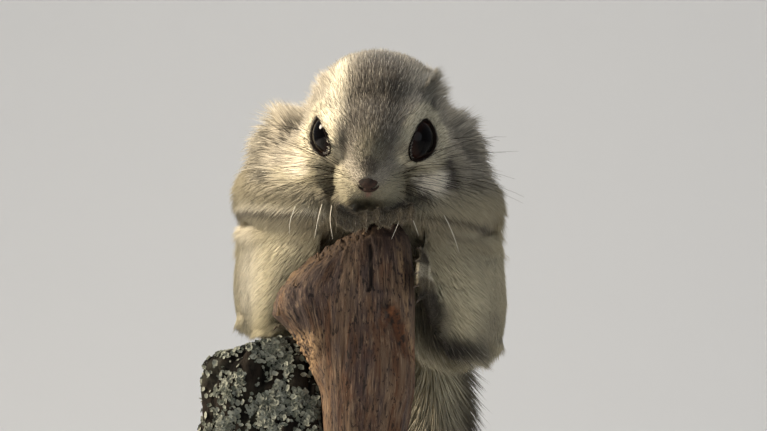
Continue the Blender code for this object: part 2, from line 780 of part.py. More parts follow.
def patagium(side, others):
    size = PATAGIUM[side]
    rows, cols = 8, 13
    edges = [curve_through(size[k], cols + 1) for k in ("top", "middle", "bottom")]
    lines = [curve_through([e[j] for e in edges], rows + 1) for j in range(cols + 1)]
    spots = np.array(lines).transpose(1, 0, 2)
    ways = (spots - np.array([0.0, 17.0, -12.0])) * np.array([1, 1, 0.25])
    ways /= np.linalg.norm(ways, axis=2, keepdims=True)
    stand = np.zeros((rows + 1, cols + 1))
    for i in range(rows + 1):
        for j in range(cols + 1):
            hit = whole_tree.ray_cast(tuple(spots[i, j] + ways[i, j] * 25), tuple(-ways[i, j]))
            if hit[0] is not None:
                off = float((spots[i, j] - np.array(hit[0])) @ ways[i, j])
                most = GAP + 2.4 + (2.0 if j / cols < 0.45 else 0.0)
                stand[i, j] = min(max(off, GAP + PATAGIUM_THICK / 2 + 0.1), most) - off
    for _ in range(3):
        near = np.pad(stand, 1, mode="edge")
        stand = 0.4 * stand + 0.15 * (near[:-2, 1:-1] + near[2:, 1:-1] + near[1:-1, :-2] + near[1:-1, 2:])
    grid = np.zeros((2, rows + 1, cols + 1, 3))
    for i in range(rows + 1):
        for j in range(cols + 1):
            t, v = i / rows, j / cols
            rim = min(t, 1 - t, 0.6 * v, 0.6 * (1 - v))
            thick = 0.6 + (PATAGIUM_THICK - 0.6) * min(1.0, rim / 0.16) ** 0.7
            fold = size["pleats"] * (1 + math.sin(2 * math.pi * (3.2 * t + 0.25 * v))) * max(0.0, 1 - 1.3 * t)
            fold *= math.sin(math.pi * min(1.0, 0.12 + v))
            grid[0, i, j] = spots[i, j] + ways[i, j] * (stand[i, j] + fold + thick / 2)
            grid[1, i, j] = spots[i, j] + ways[i, j] * (stand[i, j] + fold * 0.5 - thick / 2)

    def at(k, i, j):
        return k * (rows + 1) * (cols + 1) + i * (cols + 1) + j

    faces = []
    for i in range(rows):
        for j in range(cols):
            a = (at(0, i, j), at(0, i, j + 1), at(0, i + 1, j + 1), at(0, i + 1, j))
            b = (at(1, i, j), at(1, i, j + 1), at(1, i + 1, j + 1), at(1, i + 1, j))
            faces += [(a[0], a[1], a[2]), (a[0], a[2], a[3])]
            faces += [(b[2], b[1], b[0]), (b[3], b[2], b[0])]
    for j in range(cols):
        faces.append((at(1, 0, j), at(1, 0, j + 1), at(0, 0, j + 1), at(0, 0, j)))
        faces.append((at(0, rows, j), at(0, rows, j + 1), at(1, rows, j + 1), at(1, rows, j)))
    for i in range(rows):
        faces.append((at(0, i, 0), at(0, i + 1, 0), at(1, i + 1, 0), at(1, i, 0)))
        faces.append((at(1, i, cols), at(1, i + 1, cols), at(0, i + 1, cols), at(0, i, cols)))
    thing = mesh_object("patagium_" + side + "_work", *outward((grid.reshape(-1, 3), faces)))
    return carve(thing, others)


patagium_left = patagium("left", [torso, foreleg_left, hindleg_left, foot_left, hand_left, stub, limb])
patagium_right = patagium("right", [torso, foreleg_right, hindleg_right, foot_right, hand_right, stub, limb])

# Tail in three lengths, hanging behind the limb with its flat side to the viewer.
TAIL = [(11.0, 38.0, -20.0), (15.0, 37.5, -34.0), (15.5, 34.0, -56.0), (13.5, 31.5, -80.0), (13.0, 31.5, -101.0), (15.0, 33.0, -117.5)]
TAIL_HALF = (7.0, 11.5, 13.5, 14.0, 12.5, 2.0)
TAIL_DEPTH = (5.6, 4.6, 4.0, 3.8, 3.0, 1.0)
TAIL_STEPS = 61
TAIL_SPLITS = (0.335, 0.655)
TAIL_CORE = 0.5
LOCK_WIDTH = 6.2
LOCK_THICK = 1.5
LOCK_SPACE = 3.5


def lock(root, h, out, n, length, width, thick, first, last, lift):
    """A flat, tapered lock that leaves the core at one angle and bends to another."""
    rings, steps = [], 5
    at = np.array(root, float)
    for i in range(steps):
        u = i / (steps - 1)
        angle = math.radians(first + (last - first) * u)
        way = math.cos(angle) * h + math.sin(angle) * out
        edge = math.cos(angle) * out - math.sin(angle) * h
        if i:
            at = at + way * length / (steps - 1)
        w = width * (0.62, 1.0, 0.98, 0.72, 0.0)[i]
        d = thick * (1.0, 1.0, 0.85, 0.6, 0.0)[i]
        mid = at + n * lift * u * u
        if i == steps - 1:
            tip = mid
        else:
            rings.append([mid + edge * w / 2, mid + n * d / 2, mid - edge * w / 2, mid - n * d / 2])
    points = np.vstack([np.concatenate(rings), tip])
    faces = [(3, 2, 1, 0)]
    for i in range(len(rings) - 1):
        for j in range(4):
            a, b, k = i * 4, (i + 1) * 4, (j + 1) % 4
            faces.append((a + j, a + k, b + k, b + j))
    start = (len(rings) - 1) * 4
    for j in range(4):
        faces.append((start + j, start + (j + 1) % 4, len(points) - 1))
    return outward((points, faces))


def tail_length(first, last, name):
    """One length of the tail: a core half as wide as the coat, and side locks out to the tips."""
    path = curve_through(TAIL, TAIL_STEPS)
    run = np.concatenate([[0], np.cumsum(np.linalg.norm(np.diff(path, axis=0), axis=1))])
    whole_run = run[-1]
    frames = frames_along(path, (1, 0, 0))
    knots = np.linspace(0, whole_run, len(TAIL_HALF))

    def at(place):
        p = np.array([np.interp(place, run, path[:, k]) for k in range(3)])
        i = min(int(np.searchsorted(run, place)), TAIL_STEPS - 1)
        return (p, *frames[i], np.interp(place, knots, TAIL_HALF), np.interp(place, knots, TAIL_DEPTH))

    a, b = first * whole_run, last * whole_run
    low = a + (GAP / 2 if first > 0 else 0)
    high = b - GAP / 2 if last < 1 else b - 7.0
    rings = []
    for place in np.linspace(low, high, 9):
        p, h, s, n, half, depth = at(place)
        wide = half * TAIL_CORE
        if last == 1.0:
            close = max(0.15, 1 - max(0.0, (place - (high - 14)) / 14) ** 2)
            wide, depth = wide * close, depth * close
        rings.append(
            [
                p + wide * math.cos(t) * s + depth * math.sin(t) * n
                for t in np.linspace(0, 2 * math.pi, 14, endpoint=False)
            ]
        )
    core = mesh_object(name, *outward(loft(rings)))
    locks = []
    begin = a + 4.7 if first > 0 else a + 15.0
    end = b - 7.9 if last < 1 else b - 12.0
    rows = int(round((end - begin) / LOCK_SPACE)) + 1
    draw = np.random.default_rng(int(first * 100) + 5)
    for i, place in enumerate(np.linspace(begin, end, rows)):
        p, h, s, n, half, depth = at(place)
        near_tip = max(0.0, (place - (whole_run - 30)) / 30)
        for side in (1, -1):
            face = 1 if (i + (side > 0)) % 2 else -1
            root = p + side * s * half * 0.26 + face * n * 0.9
            reach = half * 0.74 + 0.3 * draw.standard_normal()
            spread = 56 - 30 * near_tip
            bend = 24 - 14 * near_tip
            mean = math.radians((spread + bend) / 2)
            length = min(reach / math.sin(mean), whole_run - place + 2.0)
            locks.append(
                lock(root, h, side * s, n, length, LOCK_WIDTH * (1 - 0.25 * near_tip), LOCK_THICK, spread, bend, face * 0.5)
            )
    if last == 1.0:
        for side, back in ((0.0, 17.0), (1.0, 15.0), (-1.0, 15.0)):
            p, h, s, n, half, depth = at(whole_run - back)
            locks.append(lock(p + side * s * 1.2, h, s, n, back, 4.6, 2.0, 9 * side, 3 * side, 0.0))
    return unite(core, locks)


tail_1 = tail_length(0.0, TAIL_SPLITS[0], "tail_1_work")
tail_2 = tail_length(TAIL_SPLITS[0], TAIL_SPLITS[1], "tail_2_work")
tail_3 = tail_length(TAIL_SPLITS[1], 1.0, "tail_3_work")
carve(tail_1, [torso, hindleg_left, limb])
carve(tail_2, [limb])
carve(tail_3, [limb])


# Stand: a round base and two rods up to the cut end of the limb.
def lathe(profile, centre, around=48):
    rings = []
    for r, z in profile:
        rings.append(
            [
                (centre[0] + r * math.cos(2 * math.pi * j / around), centre[1] + r * math.sin(2 * math.pi * j / around), z)
                for j in range(around)
            ]
        )
    return outward(loft(rings))


BASE_CENTRE = (-2.0, 8.0)
base = mesh_object(
    "base_work",
    *lathe(
        [
            (BASE_R, BASE_TOP - BASE_THICK),
            (BASE_R, BASE_TOP - 2.0),
            (BASE_R - 0.8, BASE_TOP - 0.5),
            (BASE_R - 2.2, BASE_TOP),
        ],
        BASE_CENTRE,
    ),
)
rods = []
for i, (x, y) in enumerate(((-23.0, 6.0), (-4.0, 6.0))):
    rods.append(mesh_object(f"rod_{i}_work", *lathe([(ROD_R, BASE_TOP + GAP), (ROD_R, PERCH_BOTTOM - GAP)], (x, y), 20)))

finish(head, "head", FUR, 0.9)
finish(torso, "torso", FUR, 0.9)
finish(ear_left, "ear_left", SKIN, 0.8)
finish(ear_right, "ear_right", SKIN, 0.8)
finish(eye_left, "eye_left", (0.01, 0.008, 0.008), 0.08)
finish(eye_right, "eye_right", (0.01, 0.008, 0.008), 0.08)
finish(nose, "nose", (0.30, 0.18, 0.14), 0.6)
finish(foreleg_left, "foreleg_left", FUR, 0.9)
finish(foreleg_right, "foreleg_right", FUR, 0.9)
finish(hand_left, "hand_left", SKIN, 0.8)
finish(hand_right, "hand_right", SKIN, 0.8)
finish(hindleg_left, "hindleg_left", FUR, 0.9)
finish(hindleg_right, "hindleg_right", FUR, 0.9)
finish(foot_left, "foot_left", SKIN, 0.8)
finish(foot_right, "foot_right", SKIN, 0.8)
finish(patagium_left, "patagium_left", PALE, 0.9)
finish(patagium_right, "patagium_right", PALE, 0.9)
finish(tail_1, "tail_1", PALE, 0.9)
finish(tail_2, "tail_2", PALE, 0.9)
finish(tail_3, "tail_3", PALE, 0.9)
finish(stub, "perch_stub", (0.27, 0.16, 0.09), 0.85)
finish(limb, "perch_limb", (0.12, 0.11, 0.09), 0.95)
finish(base, "stand_base", (0.06, 0.06, 0.065), 0.5)
finish(rods[0], "stand_rod_1", (0.45, 0.45, 0.47), 0.35)
finish(rods[1], "stand_rod_2", (0.45, 0.45, 0.47), 0.35)

bpy.data.collections.remove(work_set)
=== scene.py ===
import math
import time

import bmesh
import bpy
import numpy as np
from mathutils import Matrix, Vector, noise
from mathutils.bvhtree import BVHTree


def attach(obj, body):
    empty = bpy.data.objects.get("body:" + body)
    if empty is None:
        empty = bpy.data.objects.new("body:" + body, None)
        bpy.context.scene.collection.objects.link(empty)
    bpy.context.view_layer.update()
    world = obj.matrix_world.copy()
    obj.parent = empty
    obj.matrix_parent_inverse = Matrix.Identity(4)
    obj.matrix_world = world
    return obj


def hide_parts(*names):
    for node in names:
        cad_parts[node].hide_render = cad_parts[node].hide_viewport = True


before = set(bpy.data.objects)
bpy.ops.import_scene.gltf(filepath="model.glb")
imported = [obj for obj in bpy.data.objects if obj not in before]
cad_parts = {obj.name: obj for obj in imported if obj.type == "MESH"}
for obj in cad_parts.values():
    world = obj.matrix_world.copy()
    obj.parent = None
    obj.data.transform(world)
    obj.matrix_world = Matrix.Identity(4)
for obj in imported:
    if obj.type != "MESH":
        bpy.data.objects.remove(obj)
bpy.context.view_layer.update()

# Siberian flying squirrel, life size, clinging behind a broken stub. Sizes are in mm in the picture's own
# frame: x to its right, y away from the viewer, z up from the paws. The scene is in metres on the floor.
startedAt = time.time()
shift = np.array([2.0, -8.0, 134.0])

# The skull's own frame: fore to the nose, side to the animal's left, up through the crown
skull = {"at": (1.6, -8.6, 22.0), "pitch": 51.0, "yaw": 8.0, "roll": 6.0}


def report(words):
    print(f"{time.time() - startedAt:6.1f} s  {words}")


def unit(v):
    v = np.asarray(v, float)
    return v / np.maximum(np.linalg.norm(v, axis=-1, keepdims=True), 1e-9)


def placed(points):
    return (np.asarray(points, float) + shift) * 0.001


def inPicture(points):
    return np.asarray(points, float) * 1000 - shift


def skullAxes():
    pitch, yaw, roll = (math.radians(skull[k]) for k in ("pitch", "yaw", "roll"))
    fore = np.array([-math.sin(yaw) * math.cos(pitch), -math.cos(yaw) * math.cos(pitch), -math.sin(pitch)])
    side = np.array([math.cos(yaw), -math.sin(yaw), 0.0])
    up = np.cross(fore, side)
    return np.array(
        [fore, side * math.cos(roll) - up * math.sin(roll), up * math.cos(roll) + side * math.sin(roll)]
    )


axes = skullAxes()
skullAt = np.array(skull["at"])


def onSkull(f, s, u):
    return skullAt + f * axes[0] + s * axes[1] + u * axes[2]


def linear(hexText):
    parts = [int(hexText[i : i + 2], 16) / 255 for i in (1, 3, 5)]
    return tuple(c / 12.92 if c <= 0.04045 else ((c + 0.055) / 1.055) ** 2.4 for c in parts)


def toned(hexText):
    return (*linear(hexText), 1.0)


def step(low, high, values):
    t = np.clip((np.asarray(values, float) - low) / (high - low), 0, 1)
    return t * t * (3 - 2 * t)


def grain(points, size, seed=0.0):
    away = Vector((seed * 7.3, seed * 3.1, -seed * 5.7))
    return np.array([noise.noise(Vector(p) / size + away) for p in points])


def addNode(tree, kind, settings=None, inputs=None):
    node = tree.nodes.new(kind)
    for key, value in (settings or {}).items():
        setattr(node, key, value)
    for key, value in (inputs or {}).items():
        if isinstance(key, int):
            socket = node.inputs[key]
        else:
            socket = next(s for s in node.inputs if s.name == key and s.enabled)
        if isinstance(value, bpy.types.Node):
            value = next(s for s in value.outputs if s.enabled)
        if isinstance(value, bpy.types.NodeSocket):
            tree.links.new(value, socket)
        else:
            socket.default_value = value
    return node


def newObject(name, mesh):
    made = bpy.data.objects.new(name, mesh)
    bpy.context.scene.collection.objects.link(made)
    return made


def newMesh(name, points, faces):
    mesh = bpy.data.meshes.new(name)
    mesh.from_pydata([tuple(p) for p in points], [], [tuple(int(i) for i in f) for f in faces])
    mesh.update()
    return mesh


def settled(thing):
    # Modifiers applied: the evaluated shape becomes the object's own plain mesh
    graph = bpy.context.evaluated_depsgraph_get()
    graph.update()
    fresh = bpy.data.meshes.new_from_object(thing.evaluated_get(graph))
    thing.modifiers.clear()
    thing.data = fresh
    return thing


def pointsOf(mesh):
    flat = np.empty(len(mesh.vertices) * 3)
    mesh.vertices.foreach_get("co", flat)
    return flat.reshape(-1, 3)


def normalsOf(mesh):
    flat = np.empty(len(mesh.vertices) * 3)
    mesh.vertex_normals.foreach_get("vector", flat)
    return flat.reshape(-1, 3)


def setPoints(mesh, points):
    mesh.vertices.foreach_set("co", np.asarray(points, float).ravel())
    mesh.update()


def smoothShade(thing):
    for f in thing.data.polygons:
        f.use_smooth = True


def storeNumbers(mesh, name, values):
    kind = "FLOAT" if values.ndim == 1 else ("FLOAT_VECTOR" if values.shape[1] == 3 else "FLOAT_COLOR")
    made = mesh.attributes.new(name, kind, "POINT")
    made.data.foreach_set(
        {"FLOAT": "value", "FLOAT_VECTOR": "vector", "FLOAT_COLOR": "color"}[kind], values.ravel()
    )


def averaged(mesh, values, times):
    # Each vertex takes the mean of its neighbours, so that fields pass softly from one part to the next
    ends = np.empty(len(mesh.edges) * 2, int)
    mesh.edges.foreach_get("vertices", ends)
    a, b = ends.reshape(-1, 2).T
    count = np.bincount(np.concatenate([a, b]), minlength=len(mesh.vertices)) + 1.0
    flat = values.reshape(len(values), -1).copy()
    for _ in range(times):
        total = flat.copy()
        for k in range(flat.shape[1]):
            total[:, k] += np.bincount(a, flat[b, k], len(flat)) + np.bincount(b, flat[a, k], len(flat))
        flat = total / count[:, None]
    return flat.reshape(values.shape)


def rideRoot(piece, slotName, *nodes):
    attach(piece, "root")
    if nodes:
        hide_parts(*nodes)


def curveThrough(knots, count):
    knots = np.asarray(knots, float)
    full = np.vstack([2 * knots[0] - knots[1], knots, 2 * knots[-1] - knots[-2]])
    out = []
    for t in np.linspace(0, len(knots) - 1, count):
        i = min(int(t), len(knots) - 2)
        f = t - i
        a, b, c, d = full[i : i + 4]
        bent = (2 * a - 5 * b + 4 * c - d) * f**2 + (3 * b - a - 3 * c + d) * f**3
        out.append(0.5 * (2 * b + (c - a) * f + bent))
    return np.array(out)


def framesAlong(path, side):
    found = []
    side = unit(side)
    for h in np.gradient(np.asarray(path, float), axis=0):
        h = unit(h)
        side = unit(side - h * (side @ h))
        found.append((h, side, np.cross(h, side)))
    return found


def loft(rings, closed=False):
    count = len(rings[0])
    points = np.concatenate([np.asarray(r, float) for r in rings])
    faces = [] if closed else [tuple(range(count))[::-1]]
    turns = len(rings) if closed else len(rings) - 1
    for i in range(turns):
        for j in range(count):
            k = (j + 1) % count
            a, b = i * count, ((i + 1) % len(rings)) * count
            faces.append((a + j, a + k, b + k, b + j))
    if not closed:
        faces.append(tuple(range((len(rings) - 1) * count, len(rings) * count)))
    return points, faces


def tapered(path, radii, around=5, side=(0, 0, 1)):
    # A thin round strand along a path, with its radius at each point
    rings = []
    for (h, s, n), p, r in zip(framesAlong(path, side), path, radii):
        turn = np.linspace(0, 2 * math.pi, around, endpoint=False)
        rings.append(p + r * (np.cos(turn)[:, None] * s + np.sin(turn)[:, None] * n))
    return loft(rings)


def joined(shapes):
    points, faces, start = [], [], 0
    for p, f in shapes:
        points.append(p)
        faces += [tuple(i + start for i in face) for face in f]
        start += len(p)
    return np.concatenate(points), faces


def facedOut(mesh):
    work = bmesh.new()
    work.from_mesh(mesh)
    bmesh.ops.recalc_face_normals(work, faces=work.faces)
    work.to_mesh(mesh)
    work.free()


def merged(name):
    # A CAD node's loose triangles, joined into one surface: points in mm and faces
    work = bmesh.new()
    work.from_mesh(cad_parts[name].data)
    bmesh.ops.remove_doubles(work, verts=work.verts, dist=1e-6)
    work.normal_update()
    points = inPicture([v.co[:] for v in work.verts])
    out = np.array([v.normal[:] for v in work.verts])
    work.verts.index_update()
    faces = [tuple(v.index for v in f.verts) for f in work.faces]
    work.free()
    return points, out, faces


# Camera: the long lens looks a little up, as from the ground under the tree.
cameraPlan = {"aim": (3.1, 0.0, 0.0), "rise": 4.0, "distance": 980.0, "lens": 200.0}


def makeCamera():
    data = bpy.data.cameras.new("camera")
    data.lens = cameraPlan["lens"]
    data.sensor_width = 36.0
    rise = math.radians(cameraPlan["rise"])
    aim = Vector(placed(cameraPlan["aim"]))
    back = Vector((0, -math.cos(rise), -math.sin(rise)))
    camera = newObject("camera", data)
    camera.location = aim + back * cameraPlan["distance"] * 0.001
    camera.rotation_euler = (-back).to_track_quat("-Z", "Y").to_euler()
    data.clip_start, data.clip_end = 0.05, 20.0
    bpy.context.scene.camera = camera


makeCamera()

# One skin under the coat, from the body's solids melted together.
skinPlan = {
    "grid": 0.6,  # mm between points
    "parts": (
        "head", "torso", "ear_left", "ear_right", "foreleg_left", "foreleg_right", "hand_left", "hand_right",
        "hindleg_left", "hindleg_right", "foot_left", "foot_right", "patagium_left", "patagium_right",
    ),
    "tails": ("tail_1", "tail_2", "tail_3"),
    "puff": 0.2,  # closes the thin gaps between the solids
    "trim": ((-1, 29.5, 0.5), (1, 29.5, 0.6)),  # keeps the flanks' hair inside the outline
    # Each ear's bare size beside the solid's, and the mm it sinks into the fur
    "ears": {"ear_right": (0.78, 2.8), "ear_left": (0.8, 1.4)},
    "roll": 5.5,  # how far the flanks turn back at their edges
}
tailPlan = {
    "knots": [
        (11, 38, -20), (15, 37.5, -34), (15.5, 34, -56), (13.5, 31.5, -80), (13, 31.5, -101),
        (15, 33, -117.5)
    ],
    "half": (7.0, 11.5, 13.5, 14.0, 12.5, 2.0),
    "depth": (5.6, 4.6, 4.0, 3.8, 3.0, 1.0),
    "bone": 0.38,  # the fleshy core's share of the coat's half width
}


def tailCore():
    path = curveThrough(tailPlan["knots"], 31)
    rings = []
    for i, ((h, s, n), p) in enumerate(zip(framesAlong(path, (1, 0, 0)), path)):
        t = i / 30
        knots = np.linspace(0, 1, 6)
        half, depth = np.interp(t, knots, tailPlan["half"]), np.interp(t, knots, tailPlan["depth"])
        shrink = max(0.12, 1 - max(0.0, (t - 0.8) / 0.16) ** 2) if t < 0.96 else 0.12
        turn = np.linspace(0, 2 * math.pi, 18, endpoint=False)
        wide, deep = half * tailPlan["bone"] * shrink, depth * 0.72 * shrink
        rings.append(p + wide * np.cos(turn)[:, None] * s + deep * np.sin(turn)[:, None] * n)
    return loft(rings[:29])


def meltedSkin():
    shapes, owners = [], []
    for k, name in enumerate(skinPlan["parts"]):
        points, normals, faces = merged(name)
        points = points + normals * skinPlan["puff"]
        if name in skinPlan["ears"]:
            size, sunk = skinPlan["ears"][name]
            middle = points.mean(axis=0)
            points = middle + (points - middle) * size - axes[2] * sunk
        if not name.startswith(("head", "ear")):
            for side, edge, factor in skinPlan["trim"]:
                over = np.maximum(points[:, 0] * side - edge, 0)
                points[:, 0] -= side * over * (1 - factor)
        shapes.append((points, faces))
        owners += [k] * len(faces)
    core = tailCore()
    shapes.append(core)
    owners += [len(skinPlan["parts"])] * len(core[1])
    points, faces = joined(shapes)
    lookup = BVHTree.FromPolygons([tuple(p) for p in points], faces)
    skin = newObject("skin", newMesh("skin", placed(points), faces))
    facedOut(skin.data)
    melt = skin.modifiers.new("melt", "REMESH")
    melt.mode = "VOXEL"
    melt.voxel_size = skinPlan["grid"] * 0.001
    melt.adaptivity = 0.0
    soft = skin.modifiers.new("soft", "SMOOTH")
    soft.factor, soft.iterations = 0.5, 2
    settled(skin)
    smoothShade(skin)
    return skin, lookup, np.array(owners)


skin, fleshLookup, fleshOwner = meltedSkin()
report(f"skin of {len(skin.data.vertices)} points")


# Where each point of the skin belongs, as soft shares that sum to one.
def sharesOf(points):
    owner = np.empty(len(points), int)
    for i, p in enumerate(points):
        owner[i] = fleshOwner[fleshLookup.find_nearest(tuple(p))[2]]
    groups = {
        "head": ("head",), "torso": ("torso",), "ear": ("ear_left", "ear_right"),
        "arm": ("foreleg_left", "foreleg_right"), "hand": ("hand_left", "hand_right"),
        "leg": ("hindleg_left", "hindleg_right"), "foot": ("foot_left", "foot_right"),
        "membrane": ("patagium_left", "patagium_right"),
    }
    shares = {}
    for key, names in groups.items():
        ids = [skinPlan["parts"].index(n) for n in names]
        shares[key] = np.isin(owner, ids).astype(float)
    shares["tail"] = (owner == len(skinPlan["parts"])).astype(float)
    keys = list(shares)
    soft = averaged(skin.data, np.stack([shares[k] for k in keys], 1), 6)
    return {k: soft[:, i] for i, k in enumerate(keys)}


def softenedCreases():
    # The hair of the shoulder hides the creases over and under each forearm
    points = inPicture(pointsOf(skin.data))
    mask = np.clip(3 * share["arm"] * (1 - share["arm"]) + 0.5 * share["arm"], 0, 1)
    mask = np.maximum(mask, 0.8 * share["membrane"] * step(-11, -7, points[:, 2]))
    mask *= np.maximum(step(-1.5, 3.5, points[:, 2]), step(11, 15, np.abs(points[:, 0])))
    mask = averaged(skin.data, mask, 5)[:, None]
    for _ in range(70):
        moved = mask * (averaged(skin.data, points, 1) - points)
        moved[:, 0] *= step(29, 23, np.abs(points[:, 0]))
        points = points + moved
    edge = np.clip((np.abs(points[:, 0]) - 21) / 9, 0, 1.3) ** 2
    points[:, 1] += skinPlan["roll"] * edge * step(4, -4, points[:, 2]) * step(22, -6, points[:, 1])
    setPoints(skin.data, placed(points))


eyePlan = {
    "at": (8.9, 7.8, 2.4), "axis": (0.40, 0.84, 0.36), "radius": 6.0, "long": 54.0, "wide": 44.0,
    # Shares of the opening for the left eye (1) and the right eye (-1): lengthwise, towards the nose and the
    # cheek, and how far the drop bends
    "tall": {1: 0.98, -1: 0.86}, "inner": {1: 0.94, -1: 0.56},
    "outer": {1: 0.52, -1: 0.76}, "bend": {1: 0.40, -1: 0.0},
}
noseTip = np.array([22.6, 0.0, 0.9])


def eyeFrame(side):
    f, s, u = eyePlan["at"]
    centre = onSkull(f, s * side, u)
    a, b, c = eyePlan["axis"]
    axis = unit(a * axes[0] + b * side * axes[1] + c * axes[2])
    longWay = unit(axes[0] - axis * (axes[0] @ axis))
    return centre, axis, longWay, np.cross(axis, longWay)


def aroundEye(points, side):
    # Distance from the eye's centre, depth along its axis, and place across the opening
    centre, axis, longWay, across = eyeFrame(side)
    way = points - centre
    deep = way @ axis
    held = np.maximum(deep, 0.05)
    x = (way @ longWay) / held / math.tan(math.radians(eyePlan["long"]))
    y = (way @ across) / held / math.tan(math.radians(eyePlan["wide"]))
    return np.linalg.norm(way, axis=1), deep, x, y


def sideShare(side, y):
    # How far the opening reaches towards the nose and towards the cheek
    return np.where(y * side < 0, eyePlan["inner"][side], eyePlan["outer"][side])


def midLine(side, x):
    # The drop's tail leans towards the crown
    x = np.clip(x / eyePlan["tall"][side], -1.2, 1.2)
    return -side * eyePlan["bend"][side] * 0.5 * (x * x - x)


def eyeRange(points):
    # Distance beyond the lid opening, about 0 at the lid and 1 at one eye's breadth away
    best = np.full(len(points), 9.0)
    for side in (1, -1):
        far, deep, x, y = aroundEye(points, side)
        y = y - midLine(side, x)
        turn = np.hypot(x / eyePlan["tall"][side], y / sideShare(side, y))
        reach = np.degrees(np.arctan(turn)) / 45 - 1
        reach = np.where((deep > 0) & (far < 22), reach, 1.0)
        best = np.minimum(best, np.maximum(reach, far / 7.0 - 0.93))
    return best


def closedLids(points):
    # The skin round each eye draws in to the lids' own outline
    for side in (1, -1):
        centre, axis, longWay, across = eyeFrame(side)
        far, deep, x, y = aroundEye(points, side)
        ease = (1 - step(1.05, 2.2, np.hypot(x, y))) * (1 - step(8.5, 11.5, far)) * (deep > 0.3)
        x = x * (1 - (1 - eyePlan["tall"][side]) * ease)
        y = y * (1 - (1 - sideShare(side, y)) * ease) + midLine(side, x) * ease
        x = x * math.tan(math.radians(eyePlan["long"]))
        y = y * math.tan(math.radians(eyePlan["wide"]))
        moved = centre + far[:, None] * unit(axis + x[:, None] * longWay + y[:, None] * across)
        points = np.where((ease > 0)[:, None], moved, points)
    return points


def fullerLips(points):
    # Under the nose the lips' fur hangs as far forward as the pad
    f, s, u = ((points - skullAt) @ axes.T).T
    pull = step(14.5, 18.5, f) * step(0.5, -3, u) * step(7.5, 4.5, np.abs(s)) * step(-13, -10, u)
    return points + (1.3 * axes[0] - 0.5 * axes[2]) * pull[:, None]


share = sharesOf(inPicture(pointsOf(skin.data)))
softenedCreases()
setPoints(skin.data, placed(fullerLips(closedLids(inPicture(pointsOf(skin.data))))))
skinAt = inPicture(pointsOf(skin.data))
skinOut = normalsOf(skin.data)
fore, aside, above = ((skinAt - skullAt) @ axes.T).T
flank = np.sign(skinAt[:, 0])
report("shares of the body's parts")

eyeAway = eyeRange(skinAt)
noseAway = np.linalg.norm(np.stack([fore, aside, above], 1) - noseTip, axis=1)


def runOf(knots):
    # Direction of the nearest stretch of a limb at each point
    path = curveThrough(knots, 20)
    ways = unit(np.gradient(path, axis=0))
    near = np.argmin(np.linalg.norm(skinAt[:, None, :] - path[None], axis=2), axis=1)
    return ways[near]


limbRuns = {
    "arms": {1: [(15, 5, 6), (25.8, -1, 1.8), (18.5, -9.5, 0.6), (8.8, -15.6, 0.2)],
             -1: [(-16, 5, 8.5), (-27, -1, 4.4), (-19, -9, 1.6), (-7.8, -15.6, 0)]},
    "legs": {
        1: [(27, 14, -14), (22, 4, -28), (13, -14, -20)],
        -1: [(-28, 14, -10), (-24, 5, -25), (-17, -3, -26)]
    },
    "feet": {
        1: [(16, 3, -29), (12.8, -15, -17), (11, -28, -15)],
        -1: [(-22, 13, -24.8), (-17.5, -2, -25.4), (-16, -9, -26)]
    },
    "hands": {
        1: [(8.6, -15, 0.2), (6.2, -20, 0), (6, -26, -2.6)],
        -1: [(-7.6, -15, 0), (-4.6, -20, 0), (-4, -26, -2.6)]
    },
}


def alongTail():
    # The tail's own directions at each point, and how far to its side the point lies
    path = curveThrough(tailPlan["knots"], 31)
    near = np.argmin(np.linalg.norm(skinAt[:, None, :] - path[None], axis=2), axis=1)
    frames = framesAlong(path, (1, 0, 0))
    heading, side = np.array([f[0] for f in frames])[near], np.array([f[1] for f in frames])[near]
    half = np.interp(near / 30, np.linspace(0, 1, 6), tailPlan["half"]) * tailPlan["bone"]
    off = np.clip(np.sum((skinAt - path[near]) * side, axis=1) / half, -1, 1)
    return heading, side, off, np.abs(np.sum(skinOut * side, axis=1))


tailHeading, tailSide, tailOff, tailEdge = alongTail()


